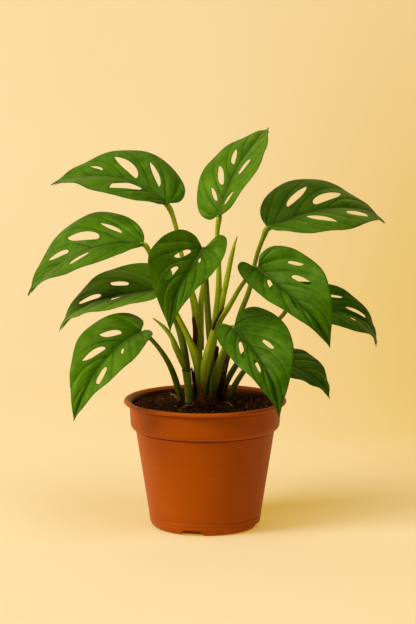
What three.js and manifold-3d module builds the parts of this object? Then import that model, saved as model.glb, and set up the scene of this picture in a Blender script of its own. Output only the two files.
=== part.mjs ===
// A small holey-leaved monstera growing in a round plastic nursery pot.
// Millimetres, +Z up. The origin is the centre of the pot's underside, which stands on Z = 0.
// The plant is placed from its crown, the point where it leaves the middle of the soil.

import * as THREE from 'three';
import { mergeVertices } from 'three/addons/utils/BufferGeometryUtils.js';
import Module from 'manifold-3d';

// ---- Pot ----
const POT_HEIGHT = 95;
const RIM_RADIUS = 60;             // to the outside of the rolled lip
const LIP_RADIUS = 1.6;            // half the thickness of the lip
const WALL = 1.8;
const COLLAR_INSET = 3.9;          // from the lip's outside to the collar's outside
const COLLAR_TAPER = 1;            // how much the collar narrows towards its lower edge
const COLLAR_DROP = 15.9;          // from the middle of the lip to the collar's lower edge
const SHOULDER_HEIGHT = 4.6;       // the rounded step between the collar and the body
const SHOULDER_STEP = 3.7;
const BASE_RADIUS = 41.2;          // where the rounding of the bottom edge starts
const BASE_EDGE = 7.5;             // height of that rounding
const BASE_TUCK = 3.9;             // how far it draws the wall in
const FLOOR = 2.2;                 // thickness of the base
const NOTCH_COUNT = 4;             // drain openings in the bottom edge
const NOTCH_TOP = 13.4;            // width of a notch at its top
const NOTCH_FOOT = 17;             // and at the floor
const NOTCH_HEIGHT = 3.9;
const NOTCH_REACH = 9;             // how far a notch cuts in from the widest point of the base
const NOTCH_START = -104;          // direction of the first notch, in degrees from +X
const POT_SEGMENTS = 44;

// ---- Soil ----
const GAP = 0.3;                   // clearance between pieces that touch
const SOIL_BELOW_RIM = 4;
const MOUND_HEIGHT = 3;            // how much the soil rises at the crown
const MOUND_RADIUS = 34;
const SOCKET_DEPTH = 12;           // how deep the feet of the stalks and stems are buried
const ROOT_DEPTH = 4;              // how deep the ends of the surface roots are buried
const SOIL_SEGMENTS = 40;

// ---- Plant ----
const BLADE_THICKNESS = 0.6;
const RIB_HALF_WIDTH = 0.9;        // half the width of the midrib at the foot of the blade
const STALK_SIDES = 8;
const STALK_STEPS = 15;
const VEIN_SPACING = 0.15;         // share of the margin between two side veins
const VEIN_START = 0.16;           // margins nearer the foot than this are fed from the foot itself
const BLADE_ROWS = 5;              // rows of faces from the midrib to the margin

const crownHeight = POT_HEIGHT - SOIL_BELOW_RIM + MOUND_HEIGHT;

// ---- Colours ----
function material(color, roughness) {
  return new THREE.MeshStandardMaterial({ color, roughness, metalness: 0 });
}

const terracotta = material(0xb85a22, 0.55);
const earth = material(0x2b1a10, 0.95);
const bladeGreen = material(0x4f8418, 0.45);
const stalkGreen = material(0x6f8f22, 0.5);
const stemBrown = material(0x4c4a1c, 0.7);
const youngGreen = material(0x8aa02c, 0.5);
const huskBrown = material(0x5a3418, 0.85);
const rootBrown = material(0x8a6238, 0.85);

const plant = new THREE.Group();
const model = new THREE.Group();
plant.position.z = crownHeight;
model.add(plant);

function addPiece(parent, name, geometry, surface) {
  const mesh = new THREE.Mesh(geometry, surface.clone());
  mesh.name = name;
  parent.add(mesh);
  return mesh;
}

// ---- Joining and cutting ----
const wasm = await Module();
wasm.setup();

function toSolid(geometry) {
  const bare = geometry.clone();
  bare.deleteAttribute('normal');
  bare.deleteAttribute('uv');
  const merged = mergeVertices(bare, 1e-4);
  return new wasm.Manifold(new wasm.Mesh({
    numProp: 3,
    vertProperties: new Float32Array(merged.attributes.position.array),
    triVerts: new Uint32Array(merged.index.array),
  }));
}

function toGeometry(solid) {
  const mesh = solid.getMesh();
  const geometry = new THREE.BufferGeometry();
  const corners = new Float32Array(mesh.vertProperties);
  geometry.setAttribute('position', new THREE.BufferAttribute(corners, 3));
  geometry.setIndex(new THREE.BufferAttribute(new Uint32Array(mesh.triVerts), 1));
  return geometry;
}

function cutAway(geometry, tools) {
  return toGeometry(tools.reduce((body, tool) => body.subtract(toSolid(tool)), toSolid(geometry)));
}

// ---- Pot ----
const lipMiddle = POT_HEIGHT - LIP_RADIUS;
const collarTopRadius = RIM_RADIUS - COLLAR_INSET;
const collarBottom = lipMiddle - COLLAR_DROP;
const collarBottomRadius = collarTopRadius - COLLAR_TAPER;
const shoulderBottom = collarBottom - SHOULDER_HEIGHT;
const shoulderRadius = collarBottomRadius - SHOULDER_STEP;

// The inside wall, from the floor to the lip, set in by the wall and any further clearance.
function insideWall(clearance) {
  const inset = WALL + clearance;
  return [
    [BASE_RADIUS - BASE_TUCK - inset, FLOOR + clearance],
    [BASE_RADIUS - inset, FLOOR + BASE_EDGE],
    [shoulderRadius - inset, shoulderBottom],
    [collarBottomRadius - inset, collarBottom],
    [collarTopRadius - inset, lipMiddle],
  ];
}

function lathe(points, segments) {
  const turned = new THREE.LatheGeometry(points.map(([r, z]) => new THREE.Vector2(r, z)), segments);
  turned.rotateX(Math.PI / 2);
  return turned;
}

// A block along X whose ends are trapezoids, carried on below the floor by its own height.
function wedge(topWidth, footWidth, height, length) {
  const shape = new THREE.Shape();
  const spread = footWidth - topWidth;
  shape.moveTo(-topWidth / 2, height);
  shape.lineTo(-footWidth / 2 - spread / 2, -height);
  shape.lineTo(footWidth / 2 + spread / 2, -height);
  shape.lineTo(topWidth / 2, height);
  const block = new THREE.ExtrudeGeometry(shape, { depth: length, bevelEnabled: false });
  block.translate(0, 0, -length / 2);
  block.rotateX(Math.PI / 2);
  block.rotateZ(Math.PI / 2);
  return block;
}

function makePot() {
  const lip = [];
  for (let degrees = -105; degrees <= 135; degrees += 40) {
    const angle = THREE.MathUtils.degToRad(degrees);
    const middle = RIM_RADIUS - LIP_RADIUS;
    lip.push([middle + LIP_RADIUS * Math.cos(angle), lipMiddle + LIP_RADIUS * Math.sin(angle)]);
  }
  const outside = [
    [0, 0],
    [BASE_RADIUS - BASE_TUCK, 0],
    [BASE_RADIUS - 0.72 * BASE_TUCK, 0.05 * BASE_EDGE],
    [BASE_RADIUS - 0.33 * BASE_TUCK, 0.24 * BASE_EDGE],
    [BASE_RADIUS - 0.08 * BASE_TUCK, 0.53 * BASE_EDGE],
    [BASE_RADIUS, BASE_EDGE],
    [shoulderRadius, shoulderBottom],
    [shoulderRadius + 0.5 * SHOULDER_STEP, shoulderBottom + 0.13 * SHOULDER_HEIGHT],
    [shoulderRadius + 0.87 * SHOULDER_STEP, shoulderBottom + 0.5 * SHOULDER_HEIGHT],
    [collarBottomRadius, collarBottom],
    [collarTopRadius, lipMiddle - LIP_RADIUS],
  ];
  const inside = insideWall(0).reverse();
  const body = lathe([...outside, ...lip, ...inside, [0, FLOOR]], POT_SEGMENTS);
  const notches = [];
  for (let i = 0; i < NOTCH_COUNT; i += 1) {
    const notch = wedge(NOTCH_TOP, NOTCH_FOOT, NOTCH_HEIGHT, 2 * NOTCH_REACH);
    notch.translate(BASE_RADIUS, 0, 0);
    notch.rotateZ(THREE.MathUtils.degToRad(NOTCH_START + i * 360 / NOTCH_COUNT));
    notches.push(notch);
  }
  return cutAway(body, notches);
}

// ---- Stalks, stems, sheaths and roots: round rods along a curve ----
// radii gives the radius at each point of the route.
function rod(points, radii, sides = STALK_SIDES, steps = STALK_STEPS) {
  const curve = new THREE.CatmullRomCurve3(points.map(([x, y, z]) => new THREE.Vector3(x, y, z)));
  const frames = curve.computeFrenetFrames(steps);
  const positions = [];
  const faces = [];
  for (let i = 0; i <= steps; i += 1) {
    const centre = curve.getPointAt(i / steps);
    const place = curve.getUtoTmapping(i / steps) * (points.length - 1);
    const before = Math.min(Math.floor(place), points.length - 2);
    const radius = THREE.MathUtils.lerp(radii[before], radii[before + 1], place - before);
    for (let j = 0; j < sides; j += 1) {
      const angle = 2 * Math.PI * j / sides;
      const spoke = frames.normals[i].clone().multiplyScalar(radius * Math.cos(angle));
      spoke.addScaledVector(frames.binormals[i], radius * Math.sin(angle));
      positions.push(...spoke.add(centre).toArray());
    }
  }
  for (let i = 0; i < steps; i += 1) {
    for (let j = 0; j < sides; j += 1) {
      const a = i * sides + j;
      const b = i * sides + (j + 1) % sides;
      faces.push(a, b, b + sides, a, b + sides, a + sides);
    }
  }
  const last = steps * sides;
  for (let j = 1; j < sides - 1; j += 1) {
    faces.push(0, j + 1, j);
    faces.push(last, last + j, last + j + 1);
  }
  const geometry = new THREE.BufferGeometry();
  geometry.setAttribute('position', new THREE.Float32BufferAttribute(positions, 3));
  geometry.setIndex(faces);
  return geometry;
}

// A route starts where the rod leaves the soil, or its stem; the plant's crown is the zero of
// the heights. A stalk goes on from its last point to the foot of its blade.
const stems = {
  stem_left: {
    radii: [2.7, 2.9, 3.2],
    route: [[-12, -3.5, -0.5], [-12.5, -3, 11], [-14, -1.5, 25]],
  },
  stem_middle: {
    radii: [1.9, 1.9, 1.1],
    route: [[-8, 3.5, 0.5], [-7.5, 3.5, 12.5], [-7, 3, 26.5]],
  },
  stem_rear: {
    radii: [2.2, 2.4, 1.4],
    route: [[6.5, 12, 3.5], [6.5, 11, 19], [9, 9.5, 38.5]],
  },
  stem_right: {
    radii: [2.4, 2.6, 1.6],
    route: [[11.5, 10, 4], [13, 9, 16], [17.5, 7.5, 33.5]],
  },
};

const stalks = {
  top_left: {
    radii: [1.9, 2, 2.4, 3, 2.9, 1.8, 1.6, 1.7],
    route: [[-3.5, 8, 3], [-4, 8, 19.5], [-4.5, 8, 36], [-6, 8.5, 53],
      [-7.5, 9.5, 68], [-12.5, 13, 88], [-17.5, 15, 106.5], [-22, 17, 128]],
  },
  top: {
    radii: [2.6, 2.8, 3, 3.1, 2.4, 1.8, 1.7],
    route: [[3.5, 17, 3.5], [4.5, 17, 19.5], [6, 15.5, 42], [9, 15, 63.5],
      [10, 14, 80], [10, 13, 101], [9, 12.5, 123.5]],
  },
  top_right: {
    radii: [2.2, 2.4, 2.3, 2.1, 1.9, 1.6, 1.8],
    route: [[10.5, 15.5, 4], [14.5, 15, 23.5], [20.5, 13.5, 41], [26, 11.5, 62.5],
      [32.5, 10.5, 80.5], [38, 10, 106], [43.5, 9.5, 121.5]],
  },
  upper_left: {
    radii: [1.8, 2.3, 3.1, 2.2, 1.8, 1.6],
    route: [[-4, 1, 2], [-5.5, -2, 21], [-7.5, -3, 34], [-13.5, -3.5, 49.5],
      [-20.5, -5, 64], [-34.5, -6, 93]],
  },
  lower_left: {
    radii: [3, 2.7, 2.3, 1.8],
    route: [[-14, -1.5, 25.8], [-16.5, 2.5, 42], [-21, 6, 57], [-28, 8, 73.5]],
  },
  front: {
    radii: [2.2, 2.4, 2.5, 2.3, 1.8],
    route: [[3, 7.5, 4.5], [4.5, 6, 28], [3, 4, 51], [1.5, 0, 71.5], [0.5, -10, 94.5]],
  },
  right_front: {
    radii: [1.6, 2.6, 3.6, 3.6, 2.8, 2, 1.6],
    route: [[-1, -5, 3], [-1, -7, 14.5], [0, -7.5, 25], [4, -8.5, 41.5],
      [9, -9.5, 58], [17.5, -11, 71.5], [27.5, -13, 88.5]],
  },
  right_rear: {
    radii: [2.1, 2.3, 2.1, 1.9, 1.6],
    route: [[13, 24, 0], [18, 21.5, 13.5], [27.5, 20, 28.5], [43.5, 20.5, 46], [58, 23, 60]],
  },
  low_front: {
    radii: [2.4, 3.3, 2.9, 2.2, 1.9],
    route: [[5, 3, 0], [7, 0, 13.5], [10.5, -5.5, 28.5], [15.5, -14, 43.5], [19, -21, 53]],
  },
  low_right: {
    radii: [2.4, 2.2, 1.9, 1.6],
    route: [[18, 5, 0.5], [23, 7, 11.5], [31.5, 9.5, 23], [42, 13.5, 30]],
  },
  low_left: {
    radii: [2.3, 2.4, 2, 1.6],
    route: [[-18.5, 6, -0.5], [-21.5, 3, 13], [-27.5, -7, 30], [-37, -14, 45]],
  },
};

// ---- Blades ----
// A blade lies between its foot and its tip. roll turns it about that line, bow arches it,
// skew moves the arch towards the tip and lean bends it sideways. For the left and the right
// half, seen from above with the tip away: width, lift (degrees that the half rises from the
// midrib), lobe (0 for a plain foot, 1 for a rounded lobe behind it), slant (how much the side
// veins sweep towards the tip) and holes. droop lowers the margins. A hole is [place along the
// margin, start, end, half-width], where start and end are shares of the way from the midrib
// to the margin.
const blades = {
  top_left: {
    foot: [-27, 18, 143.5], tip: [-116, 57, 153], roll: -13, bow: 14, skew: -0.1, lean: 2.5,
    droop: 9, width: [29, 38], lift: [14, 32], lobe: [-0.1, 0.6], slant: [0.1, 0.2],
    holes: [[[0.5, 0.13, 0.78, 0.06], [0.78, 0.14, 0.47, 0.06]],
      [[0.4, 0.17, 0.67, 0.029], [0.6, 0.09, 0.72, 0.04], [0.77, 0.2, 0.59, 0.012]]],
  },
  top: {
    foot: [9, 12, 135], tip: [48, 65, 195.5], roll: -10, bow: 10.5, skew: -0.2, lean: 4.5,
    droop: 3.5, width: [27.5, 26.5], lift: [20, 15], lobe: [0.3, 0], slant: [0.2, 0.2],
    holes: [[[0.42, 0.11, 0.46, 0.025], [0.56, 0.11, 0.55, 0.034], [0.71, 0.12, 0.58, 0.025]],
      [[0.37, 0.19, 0.47, 0.042], [0.6, 0.26, 0.58, 0.039]]],
  },
  top_right: {
    foot: [46, 9.5, 127.5], tip: [136.5, 72, 122.5], roll: 28, bow: 15, skew: 0.2, lean: -1,
    droop: 5.5, width: [36.5, 31], lift: [13, 15], lobe: [0.1, -0.1], slant: [0.3, 0.1],
    holes: [[[0.48, 0.25, 0.7, 0.038], [0.68, 0.14, 0.65, 0.045]],
      [[0.52, 0.15, 0.72, 0.027], [0.72, 0.36, 0.82, 0.043]]],
  },
  upper_left: {
    foot: [-45, -5, 117.5], tip: [-131.5, 18, 75], roll: -25, bow: 14.5, skew: -0.1, lean: 0,
    droop: 9, width: [26, 40], lift: [19, 26], lobe: [0, 0.1], slant: [0.2, 0.3],
    holes: [[[0.58, 0.38, 0.73, 0.033]],
      [[0.43, 0.22, 0.58, 0.027], [0.62, 0.15, 0.62, 0.05], [0.78, 0.16, 0.59, 0.026]]],
  },
  lower_left: {
    foot: [-31, 8, 82.5], tip: [-109, 31.5, 46], roll: -27, bow: 11.5, skew: 0.4, lean: -1,
    droop: 3, width: [27, 29.5], lift: [17, 21], lobe: [0.4, 0.7], slant: [0.1, 0.3],
    holes: [[[0.58, 0.14, 0.42, 0.028]], [[0.57, 0.23, 0.5, 0.038], [0.78, 0.11, 0.57, 0.041]]],
  },
  front: {
    foot: [-1.5, -22, 116], tip: [-25, -54, 60], roll: -24, bow: 13.5, skew: 1, lean: 1.5,
    droop: -2, width: [16, 32], lift: [-1, 34], lobe: [1.4, 0.7], slant: [0.2, 0.4],
    holes: [[[0.47, 0.02, 0.19, 0.027]], [[0.45, 0.18, 0.48, 0.053], [0.65, 0.25, 0.59, 0.041]]],
  },
  right_front: {
    foot: [38, -15, 101], tip: [90, -42, 46], roll: 44, bow: 10.5, skew: 0.9, lean: -1.5,
    droop: 1.5, width: [30.5, 16.5], lift: [27, 15], lobe: [0.6, 1], slant: [0.3, 0.1],
    holes: [[[0.35, 0.54, 0.78, 0.028], [0.55, 0.32, 0.64, 0.039]],
      [[0.46, 0.02, 0.49, 0.028], [0.68, 0.07, 0.63, 0.02]]],
  },
  right_rear: {
    foot: [64, 25, 67.5], tip: [129.5, 55.5, 30], roll: 47, bow: 20, skew: 0.2, lean: 1.5,
    droop: 3, width: [20, 21], lift: [18, 20], lobe: [1.4, 0], slant: [0.3, 0.1],
    holes: [[[0.46, 0.46, 0.68, 0.032], [0.73, 0.17, 0.54, 0.06]], [[0.66, 0.34, 0.5, 0.016]]],
  },
  low_front: {
    foot: [20.5, -25, 59], tip: [53, -66, 0], roll: 18, bow: 16.5, skew: 0.5, lean: 0,
    droop: 4.5, width: [31, 18], lift: [28, 6], lobe: [1, 0.6], slant: [0.3, 0.2],
    holes: [[[0.58, 0.29, 0.53, 0.034]], [[0.51, 0.2, 0.67, 0.033], [0.7, 0.25, 0.58, 0.034]]],
  },
  low_right: {
    foot: [46.5, 15, 32.5], tip: [92.5, 9.5, -1.5], roll: 18, bow: 7, skew: 0.7, lean: 2,
    droop: 1, width: [21.5, 21], lift: [12, 7], lobe: [-0.1, 0.9], slant: [0.2, 0.2],
    holes: [[], []],
  },
  low_left: {
    foot: [-46, -20, 54.5], tip: [-94, -61.5, -4], roll: -8, bow: 15, skew: 0, lean: -2.5,
    droop: 8, width: [28.5, 31], lift: [23, 40], lobe: [0.2, 1.1], slant: [0.1, 0.2],
    holes: [[[0.53, 0.36, 0.59, 0.014], [0.71, 0.37, 0.84, 0.039]],
      [[0.44, 0.18, 0.56, 0.044], [0.63, 0.17, 0.67, 0.036]]],
  },
};

// The outline of one half: [place, share of the half-width, share of the length].
const lobedOutline = [
  [0, 0, 0], [0.07, 0.26, -0.105], [0.16, 0.66, -0.105], [0.27, 0.94, 0.05], [0.39, 1, 0.26],
  [0.54, 0.87, 0.48], [0.69, 0.6, 0.68], [0.84, 0.27, 0.86], [0.93, 0.09, 0.945], [1, 0, 1],
];
const plainOutline = [
  [0, 0, 0], [0.07, 0.16, 0], [0.16, 0.4, 0.03], [0.27, 0.7, 0.11], [0.39, 0.92, 0.25],
  [0.54, 1, 0.45], [0.69, 0.76, 0.66], [0.84, 0.34, 0.86], [0.93, 0.11, 0.945], [1, 0, 1],
];

// The outline at a place along it, as [across, along], by a cubic through the points above.
function marginAt(place, lobe) {
  const points = plainOutline.map((plain, i) => {
    return plain.map((value, k) => THREE.MathUtils.lerp(value, lobedOutline[i][k], lobe));
  });
  const last = points.length - 1;
  let i = 0;
  while (i < last - 1 && points[i + 1][0] <= place) i += 1;
  const rise = (from, k) => {
    return (points[from + 1][k] - points[from][k]) / (points[from + 1][0] - points[from][0]);
  };
  const slope = (index, k) => {
    if (index === 0) return rise(0, k);
    if (index === last) return rise(last - 1, k);
    const before = points[index][0] - points[index - 1][0];
    const after = points[index + 1][0] - points[index][0];
    return (rise(index - 1, k) * after + rise(index, k) * before) / (before + after);
  };
  const span = points[i + 1][0] - points[i][0];
  const u = (place - points[i][0]) / span;
  return [1, 2].map((k) => (2 * u ** 3 - 3 * u ** 2 + 1) * points[i][k]
    + (u ** 3 - 2 * u ** 2 + u) * span * slope(i, k)
    + (3 * u ** 2 - 2 * u ** 3) * points[i + 1][k]
    + (u ** 3 - u ** 2) * span * slope(i + 1, k));
}

// A point on the vein to that place, reach being the share of the way out to the margin.
// The veins nearest the foot don't slant, so that the faces there stay clear of each other.
function veinPoint(vein, reach, lobe, slant) {
  const fade = THREE.MathUtils.clamp((vein - 0.12) / 0.18, 0, 1);
  const place = vein + fade * slant * (reach - 0.45) * 4 * vein * (1 - vein);
  const [across, along] = marginAt(place, lobe);
  const start = THREE.MathUtils.clamp((place - VEIN_START) / (1 - VEIN_START), 0, 1) ** 1.5;
  const bendAcross = 0.5 * across;
  const bendAlong = start + 0.2 * (along - start);
  return [
    2 * reach * (1 - reach) * bendAcross + reach ** 2 * across,
    (1 - reach) ** 2 * start + 2 * reach * (1 - reach) * bendAlong + reach ** 2 * along,
  ];
}

function bladeAxes(blade) {
  const foot = new THREE.Vector3(...blade.foot);
  const length = new THREE.Vector3(...blade.tip).sub(foot);
  const forward = length.clone().normalize();
  const up = new THREE.Vector3(0, 0, 1).addScaledVector(forward, -forward.z).normalize();
  const across = forward.clone().cross(up);
  const roll = THREE.MathUtils.degToRad(blade.roll);
  const normal = up.multiplyScalar(Math.cos(roll)).addScaledVector(across, Math.sin(roll));
  return { foot, length, normal, right: forward.cross(normal) };
}

// half is 0 for the left and 1 for the right.
function bladePoint(blade, half, vein, reach) {
  const { foot, length, normal, right } = bladeAxes(blade);
  const side = half === 0 ? -1 : 1;
  const [across, along] = veinPoint(vein, reach, blade.lobe[half], blade.slant[half]);
  const arch = 4 * along * (1 - along);
  const lift = THREE.MathUtils.degToRad(blade.lift[half]);
  const out = across * blade.width[half];
  const rib = RIB_HALF_WIDTH * THREE.MathUtils.clamp(1 - along, 0, 1);
  const height = blade.bow * arch * (1 + blade.skew * (2 * along - 1))
    + out * Math.sin(lift) - blade.droop * across ** 2;
  return foot.clone()
    .addScaledVector(length, along)
    .addScaledVector(right, side * (rib + out * Math.cos(lift)) + blade.lean * arch)
    .addScaledVector(normal, height);
}

// The side veins of a half run between its holes, and carry on at their usual spacing.
function veinPlaces(holes) {
  const middle = holes.length ? holes.map((hole) => hole[0]) : [0.5];
  const places = [];
  for (let p = middle[0] - VEIN_SPACING / 2; p > 0.1; p -= VEIN_SPACING) places.unshift(p);
  for (let i = 1; i < middle.length; i += 1) {
    const room = middle[i] - middle[i - 1];
    const count = Math.max(1, Math.round(room / VEIN_SPACING));
    for (let k = 0; k < count; k += 1) places.push(middle[i - 1] + room * (k + 0.5) / count);
  }
  const past = middle[middle.length - 1] + VEIN_SPACING / 2;
  for (let p = past; p < 0.95; p += VEIN_SPACING) places.push(p);
  return [0, ...places, 1];
}

// The width of a hole along its length, as a share of its greatest width.
const holeWidth = (share) => Math.sin(Math.PI * share ** 0.8) ** 0.85;

// The rows of a hole's two ends, counted from the midrib.
function holeRows([, start, end]) {
  const first = Math.min(BLADE_ROWS - 4, Math.max(1, Math.round(start * BLADE_ROWS)));
  const last = Math.min(BLADE_ROWS - 1, Math.max(first + 3, Math.round(end * BLADE_ROWS)));
  return [first, last];
}

// How far out a row lies beside a hole. Without a hole the rows are evenly spaced.
function rowReach(hole, row) {
  if (!hole) return row / BLADE_ROWS;
  const [first, last] = holeRows(hole);
  const [, start, end] = hole;
  if (row <= first) return start * row / first;
  if (row >= last) return end + (1 - end) * (row - last) / (BLADE_ROWS - last);
  return start + (end - start) * (row - first) / (last - first);
}

// Columns of one half: each lists its point at every row, and says whether a hole follows it.
function bladeColumns(blade, half) {
  const veins = veinPlaces(blade.holes[half]);
  const holeAfter = (i) => {
    return blade.holes[half].find(([place]) => place > veins[i] && place < veins[i + 1]);
  };
  // A plain column's rows lie midway between those of the columns on either side.
  const plainColumn = (place, before, after) => {
    const points = [];
    for (let row = 0; row <= BLADE_ROWS; row += 1) {
      const reach = (rowReach(before, row) + rowReach(after, row)) / 2;
      points.push(bladePoint(blade, half, place, reach));
    }
    return { points, open: () => false };
  };
  const columns = [plainColumn(0)];
  for (let i = 1; i < veins.length; i += 1) {
    const hole = holeAfter(i - 1);
    if (hole) {
      const [place, , , halfWidth] = hole;
      const [first, last] = holeRows(hole);
      for (const sign of [-1, 1]) {
        const points = [];
        for (let row = 0; row <= BLADE_ROWS; row += 1) {
          const share = THREE.MathUtils.clamp((row - first) / (last - first), 0, 1);
          const width = share > 0 && share < 1 ? halfWidth * holeWidth(share) : 0;
          points.push(bladePoint(blade, half, place + sign * width, rowReach(hole, row)));
        }
        columns.push({ points, open: (row) => sign < 0 && row >= first && row < last });
      }
    } else if (veins[i] - veins[i - 1] > 0.11) {
      columns.push(plainColumn((veins[i] + veins[i - 1]) / 2));
    }
    columns.push(plainColumn(veins[i], hole, holeAfter(i)));
  }
  return columns;
}

// A thin closed sheet: the flat faces are doubled, half a thickness up and down, and walled
// along every open edge. Points closer than the tolerance are one point.
function thicken(points, triangles, normal) {
  const tolerance = 1e-3;
  const seen = new Map();
  const corners = [];
  const same = points.map((point) => {
    const key = point.toArray().map((v) => Math.round(v / tolerance)).join();
    if (!seen.has(key)) {
      seen.set(key, corners.length);
      corners.push(point);
    }
    return seen.get(key);
  });
  const faces = triangles.map((face) => face.map((i) => same[i]))
    .filter(([a, b, c]) => a !== b && b !== c && c !== a);
  const half = normal.clone().multiplyScalar(BLADE_THICKNESS / 2);
  const count = corners.length;
  const positions = [];
  for (const corner of corners) positions.push(...corner.clone().add(half).toArray());
  for (const corner of corners) positions.push(...corner.clone().sub(half).toArray());
  const index = [];
  const edges = new Set(faces.flatMap(([a, b, c]) => [`${a},${b}`, `${b},${c}`, `${c},${a}`]));
  for (const [a, b, c] of faces) {
    index.push(a, b, c, a + count, c + count, b + count);
    for (const [from, to] of [[a, b], [b, c], [c, a]]) {
      if (edges.has(`${to},${from}`)) continue;
      index.push(to, from, from + count, to, from + count, to + count);
    }
  }
  const geometry = new THREE.BufferGeometry();
  geometry.setAttribute('position', new THREE.Float32BufferAttribute(positions, 3));
  geometry.setIndex(index);
  return geometry;
}

function makeBlade(blade) {
  const points = [];
  const triangles = [];
  const ribs = [];
  const { foot, length, normal } = bladeAxes(blade);
  // Twice the area of a face as seen along the blade's normal, below zero if it is turned over.
  const facing = ([p, q, r]) => {
    const side = points[q].clone().sub(points[p]);
    return side.cross(points[r].clone().sub(points[p])).dot(normal);
  };
  for (const half of [0, 1]) {
    const columns = bladeColumns(blade, half);
    const first = points.length;
    const rows = BLADE_ROWS + 1;
    for (const column of columns) points.push(...column.points);
    ribs.push(columns.map((column, i) => first + i * rows));
    for (let i = 0; i < columns.length - 1; i += 1) {
      for (let row = 0; row < BLADE_ROWS; row += 1) {
        if (columns[i].open(row)) continue;
        const a = first + i * rows + row;
        const b = a + rows;
        const cells = [[[a, b, b + 1], [a, b + 1, a + 1]], [[a, b, a + 1], [b, b + 1, a + 1]]]
          .map((cell) => cell.map(([p, q, r]) => (half === 0 ? [p, q, r] : [p, r, q])));
        // A cell is split along the diagonal that leaves it flatter, so that neither half folds.
        const [rising, falling] = cells.map((cell) => Math.min(...cell.map(facing)));
        triangles.push(...cells[rising > falling ? 0 : 1]);
      }
    }
  }
  // The strip between the two halves is the midrib.
  const alongRib = (i) => points[i].clone().sub(foot).dot(length);
  const [left, right] = ribs;
  let i = 0;
  let j = 0;
  while (i < left.length - 1 || j < right.length - 1) {
    const stepLeft = j === right.length - 1
      || (i < left.length - 1 && alongRib(left[i + 1]) <= alongRib(right[j + 1]));
    if (stepLeft) {
      triangles.push([left[i], right[j], left[i + 1]]);
      i += 1;
    } else {
      triangles.push([left[i], right[j], right[j + 1]]);
      j += 1;
    }
  }
  return thicken(points, triangles, normal);
}

// A stalk stops just under the foot of its blade.
function stalkEnd(name) {
  const { foot, normal } = bladeAxes(blades[name]);
  const drop = BLADE_THICKNESS / 2 + GAP + stalks[name].radii.at(-1);
  return foot.addScaledVector(normal, -drop).toArray();
}

// ---- Pieces that lie close against the stalks ----
const youngLeaves = {
  new_leaf_tall: {
    radii: [1.5, 2, 2, 1.8, 1.2, 0.4],
    route: [[11, 9, 62], [13, 8.5, 73], [16, 7.5, 88.5], [18.5, 6, 102.5], [21, 4.5, 113],
      [23.5, 4, 121]],
  },
  new_leaf_middle: {
    radii: [1.5, 2.2, 2, 0.6],
    route: [[-2.5, 14, 35], [-3, 14, 53.5], [-3, 13.5, 72.5], [-1, 13, 90.5]],
  },
  new_leaf_small: {
    radii: [2.1, 2.3, 1.7, 1.2, 0.4],
    route: [[-17.5, -7, 29.5], [-20.5, -8, 38.5], [-25.5, -8.5, 49.5], [-32, -9, 57.5],
      [-38, -9.5, 62.5]],
  },
};
const husks = {
  sheath_left: { radii: [0.4, 1.9, 1.1], route: [[-7.5, 3.5, 39], [-7, 3, 52.5], [-8, 3.5, 61.5]] },
  sheath_low: { radii: [0.8, 0.9, 0.7], route: [[-8.5, -1.5, 12], [-9, -1, 19], [-9.5, -1, 24.5]] },
  sheath_right: { radii: [0.4, 0.9, 0.4], route: [[5.5, -13, 54.5], [8, -13.5, 61], [14, -14, 71]] },
};
const buriedHusks = {
  crown_husk: { radii: [2.3, 2, 1.1], route: [[-2, -10.5, 0.5], [-2.5, -11, 8], [-4, -11.5, 15.5]] },
};
const roots = {
  root_front_left: { radii: [0.8, 0.7, 0.5], route: [[-6, -13, 0], [-12, -17, 0], [-19, -19, -2]] },
  root_front_right: { radii: [0.8, 0.7, 0.5], route: [[12, -4, 0.5], [17, -9, 0], [21, -15, -2]] },
  root_rear: { radii: [0.8, 0.7, 0.5], route: [[-20, 22, -1.5], [-24, 30, -1], [-27, 38, -2.5]] },
};

// The route of a rod that stands in the soil, with its foot buried straight below.
const buried = (route, depth) => [[route[0][0], route[0][1], route[0][2] - depth], ...route];

function buriedRod({ radii, route }, clearance = 0) {
  const wider = [radii[0], ...radii].map((radius) => radius + clearance);
  return rod(buried(route, SOCKET_DEPTH), wider);
}

function rootRod({ radii, route }, clearance = 0) {
  const [x, y, z] = route[route.length - 1];
  const ends = [...buried(route, ROOT_DEPTH), [x, y, z - ROOT_DEPTH]];
  const wider = [radii[0], ...radii, radii.at(-1)].map((radius) => radius + clearance);
  return rod(ends, wider, 6, 10);
}

function makeSoil(sockets) {
  const wall = insideWall(GAP);
  const rim = POT_HEIGHT - SOIL_BELOW_RIM;
  const [lowRadius, lowHeight] = wall[3];
  const [highRadius, highHeight] = wall[4];
  const share = (rim - lowHeight) / (highHeight - lowHeight);
  const edge = lowRadius + share * (highRadius - lowRadius);
  const top = [];
  const rings = 5;
  for (let i = rings; i >= 0; i -= 1) {
    const r = MOUND_RADIUS * i / rings;
    top.push([r, rim + MOUND_HEIGHT * 0.5 * (1 + Math.cos(Math.PI * i / rings))]);
  }
  const body = lathe([[0, wall[0][1]], ...wall.slice(0, 4), [edge, rim], ...top], SOIL_SEGMENTS);
  return cutAway(body, sockets.map((socket) => socket.translate(0, 0, crownHeight)));
}

// ---- Assembly ----
const standing = { ...stems, ...buriedHusks };
for (const [name, { radii, route }] of Object.entries(stalks)) {
  const stalk = { radii: [...radii, radii.at(-1)], route: [...route, stalkEnd(name)] };
  if (name === 'lower_left') {
    addPiece(plant, `stalk_${name}`, rod(stalk.route, stalk.radii), stalkGreen);
  } else {
    standing[`stalk_${name}`] = stalk;
  }
  addPiece(plant, `leaf_${name}`, makeBlade(blades[name]), bladeGreen);
}

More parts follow.
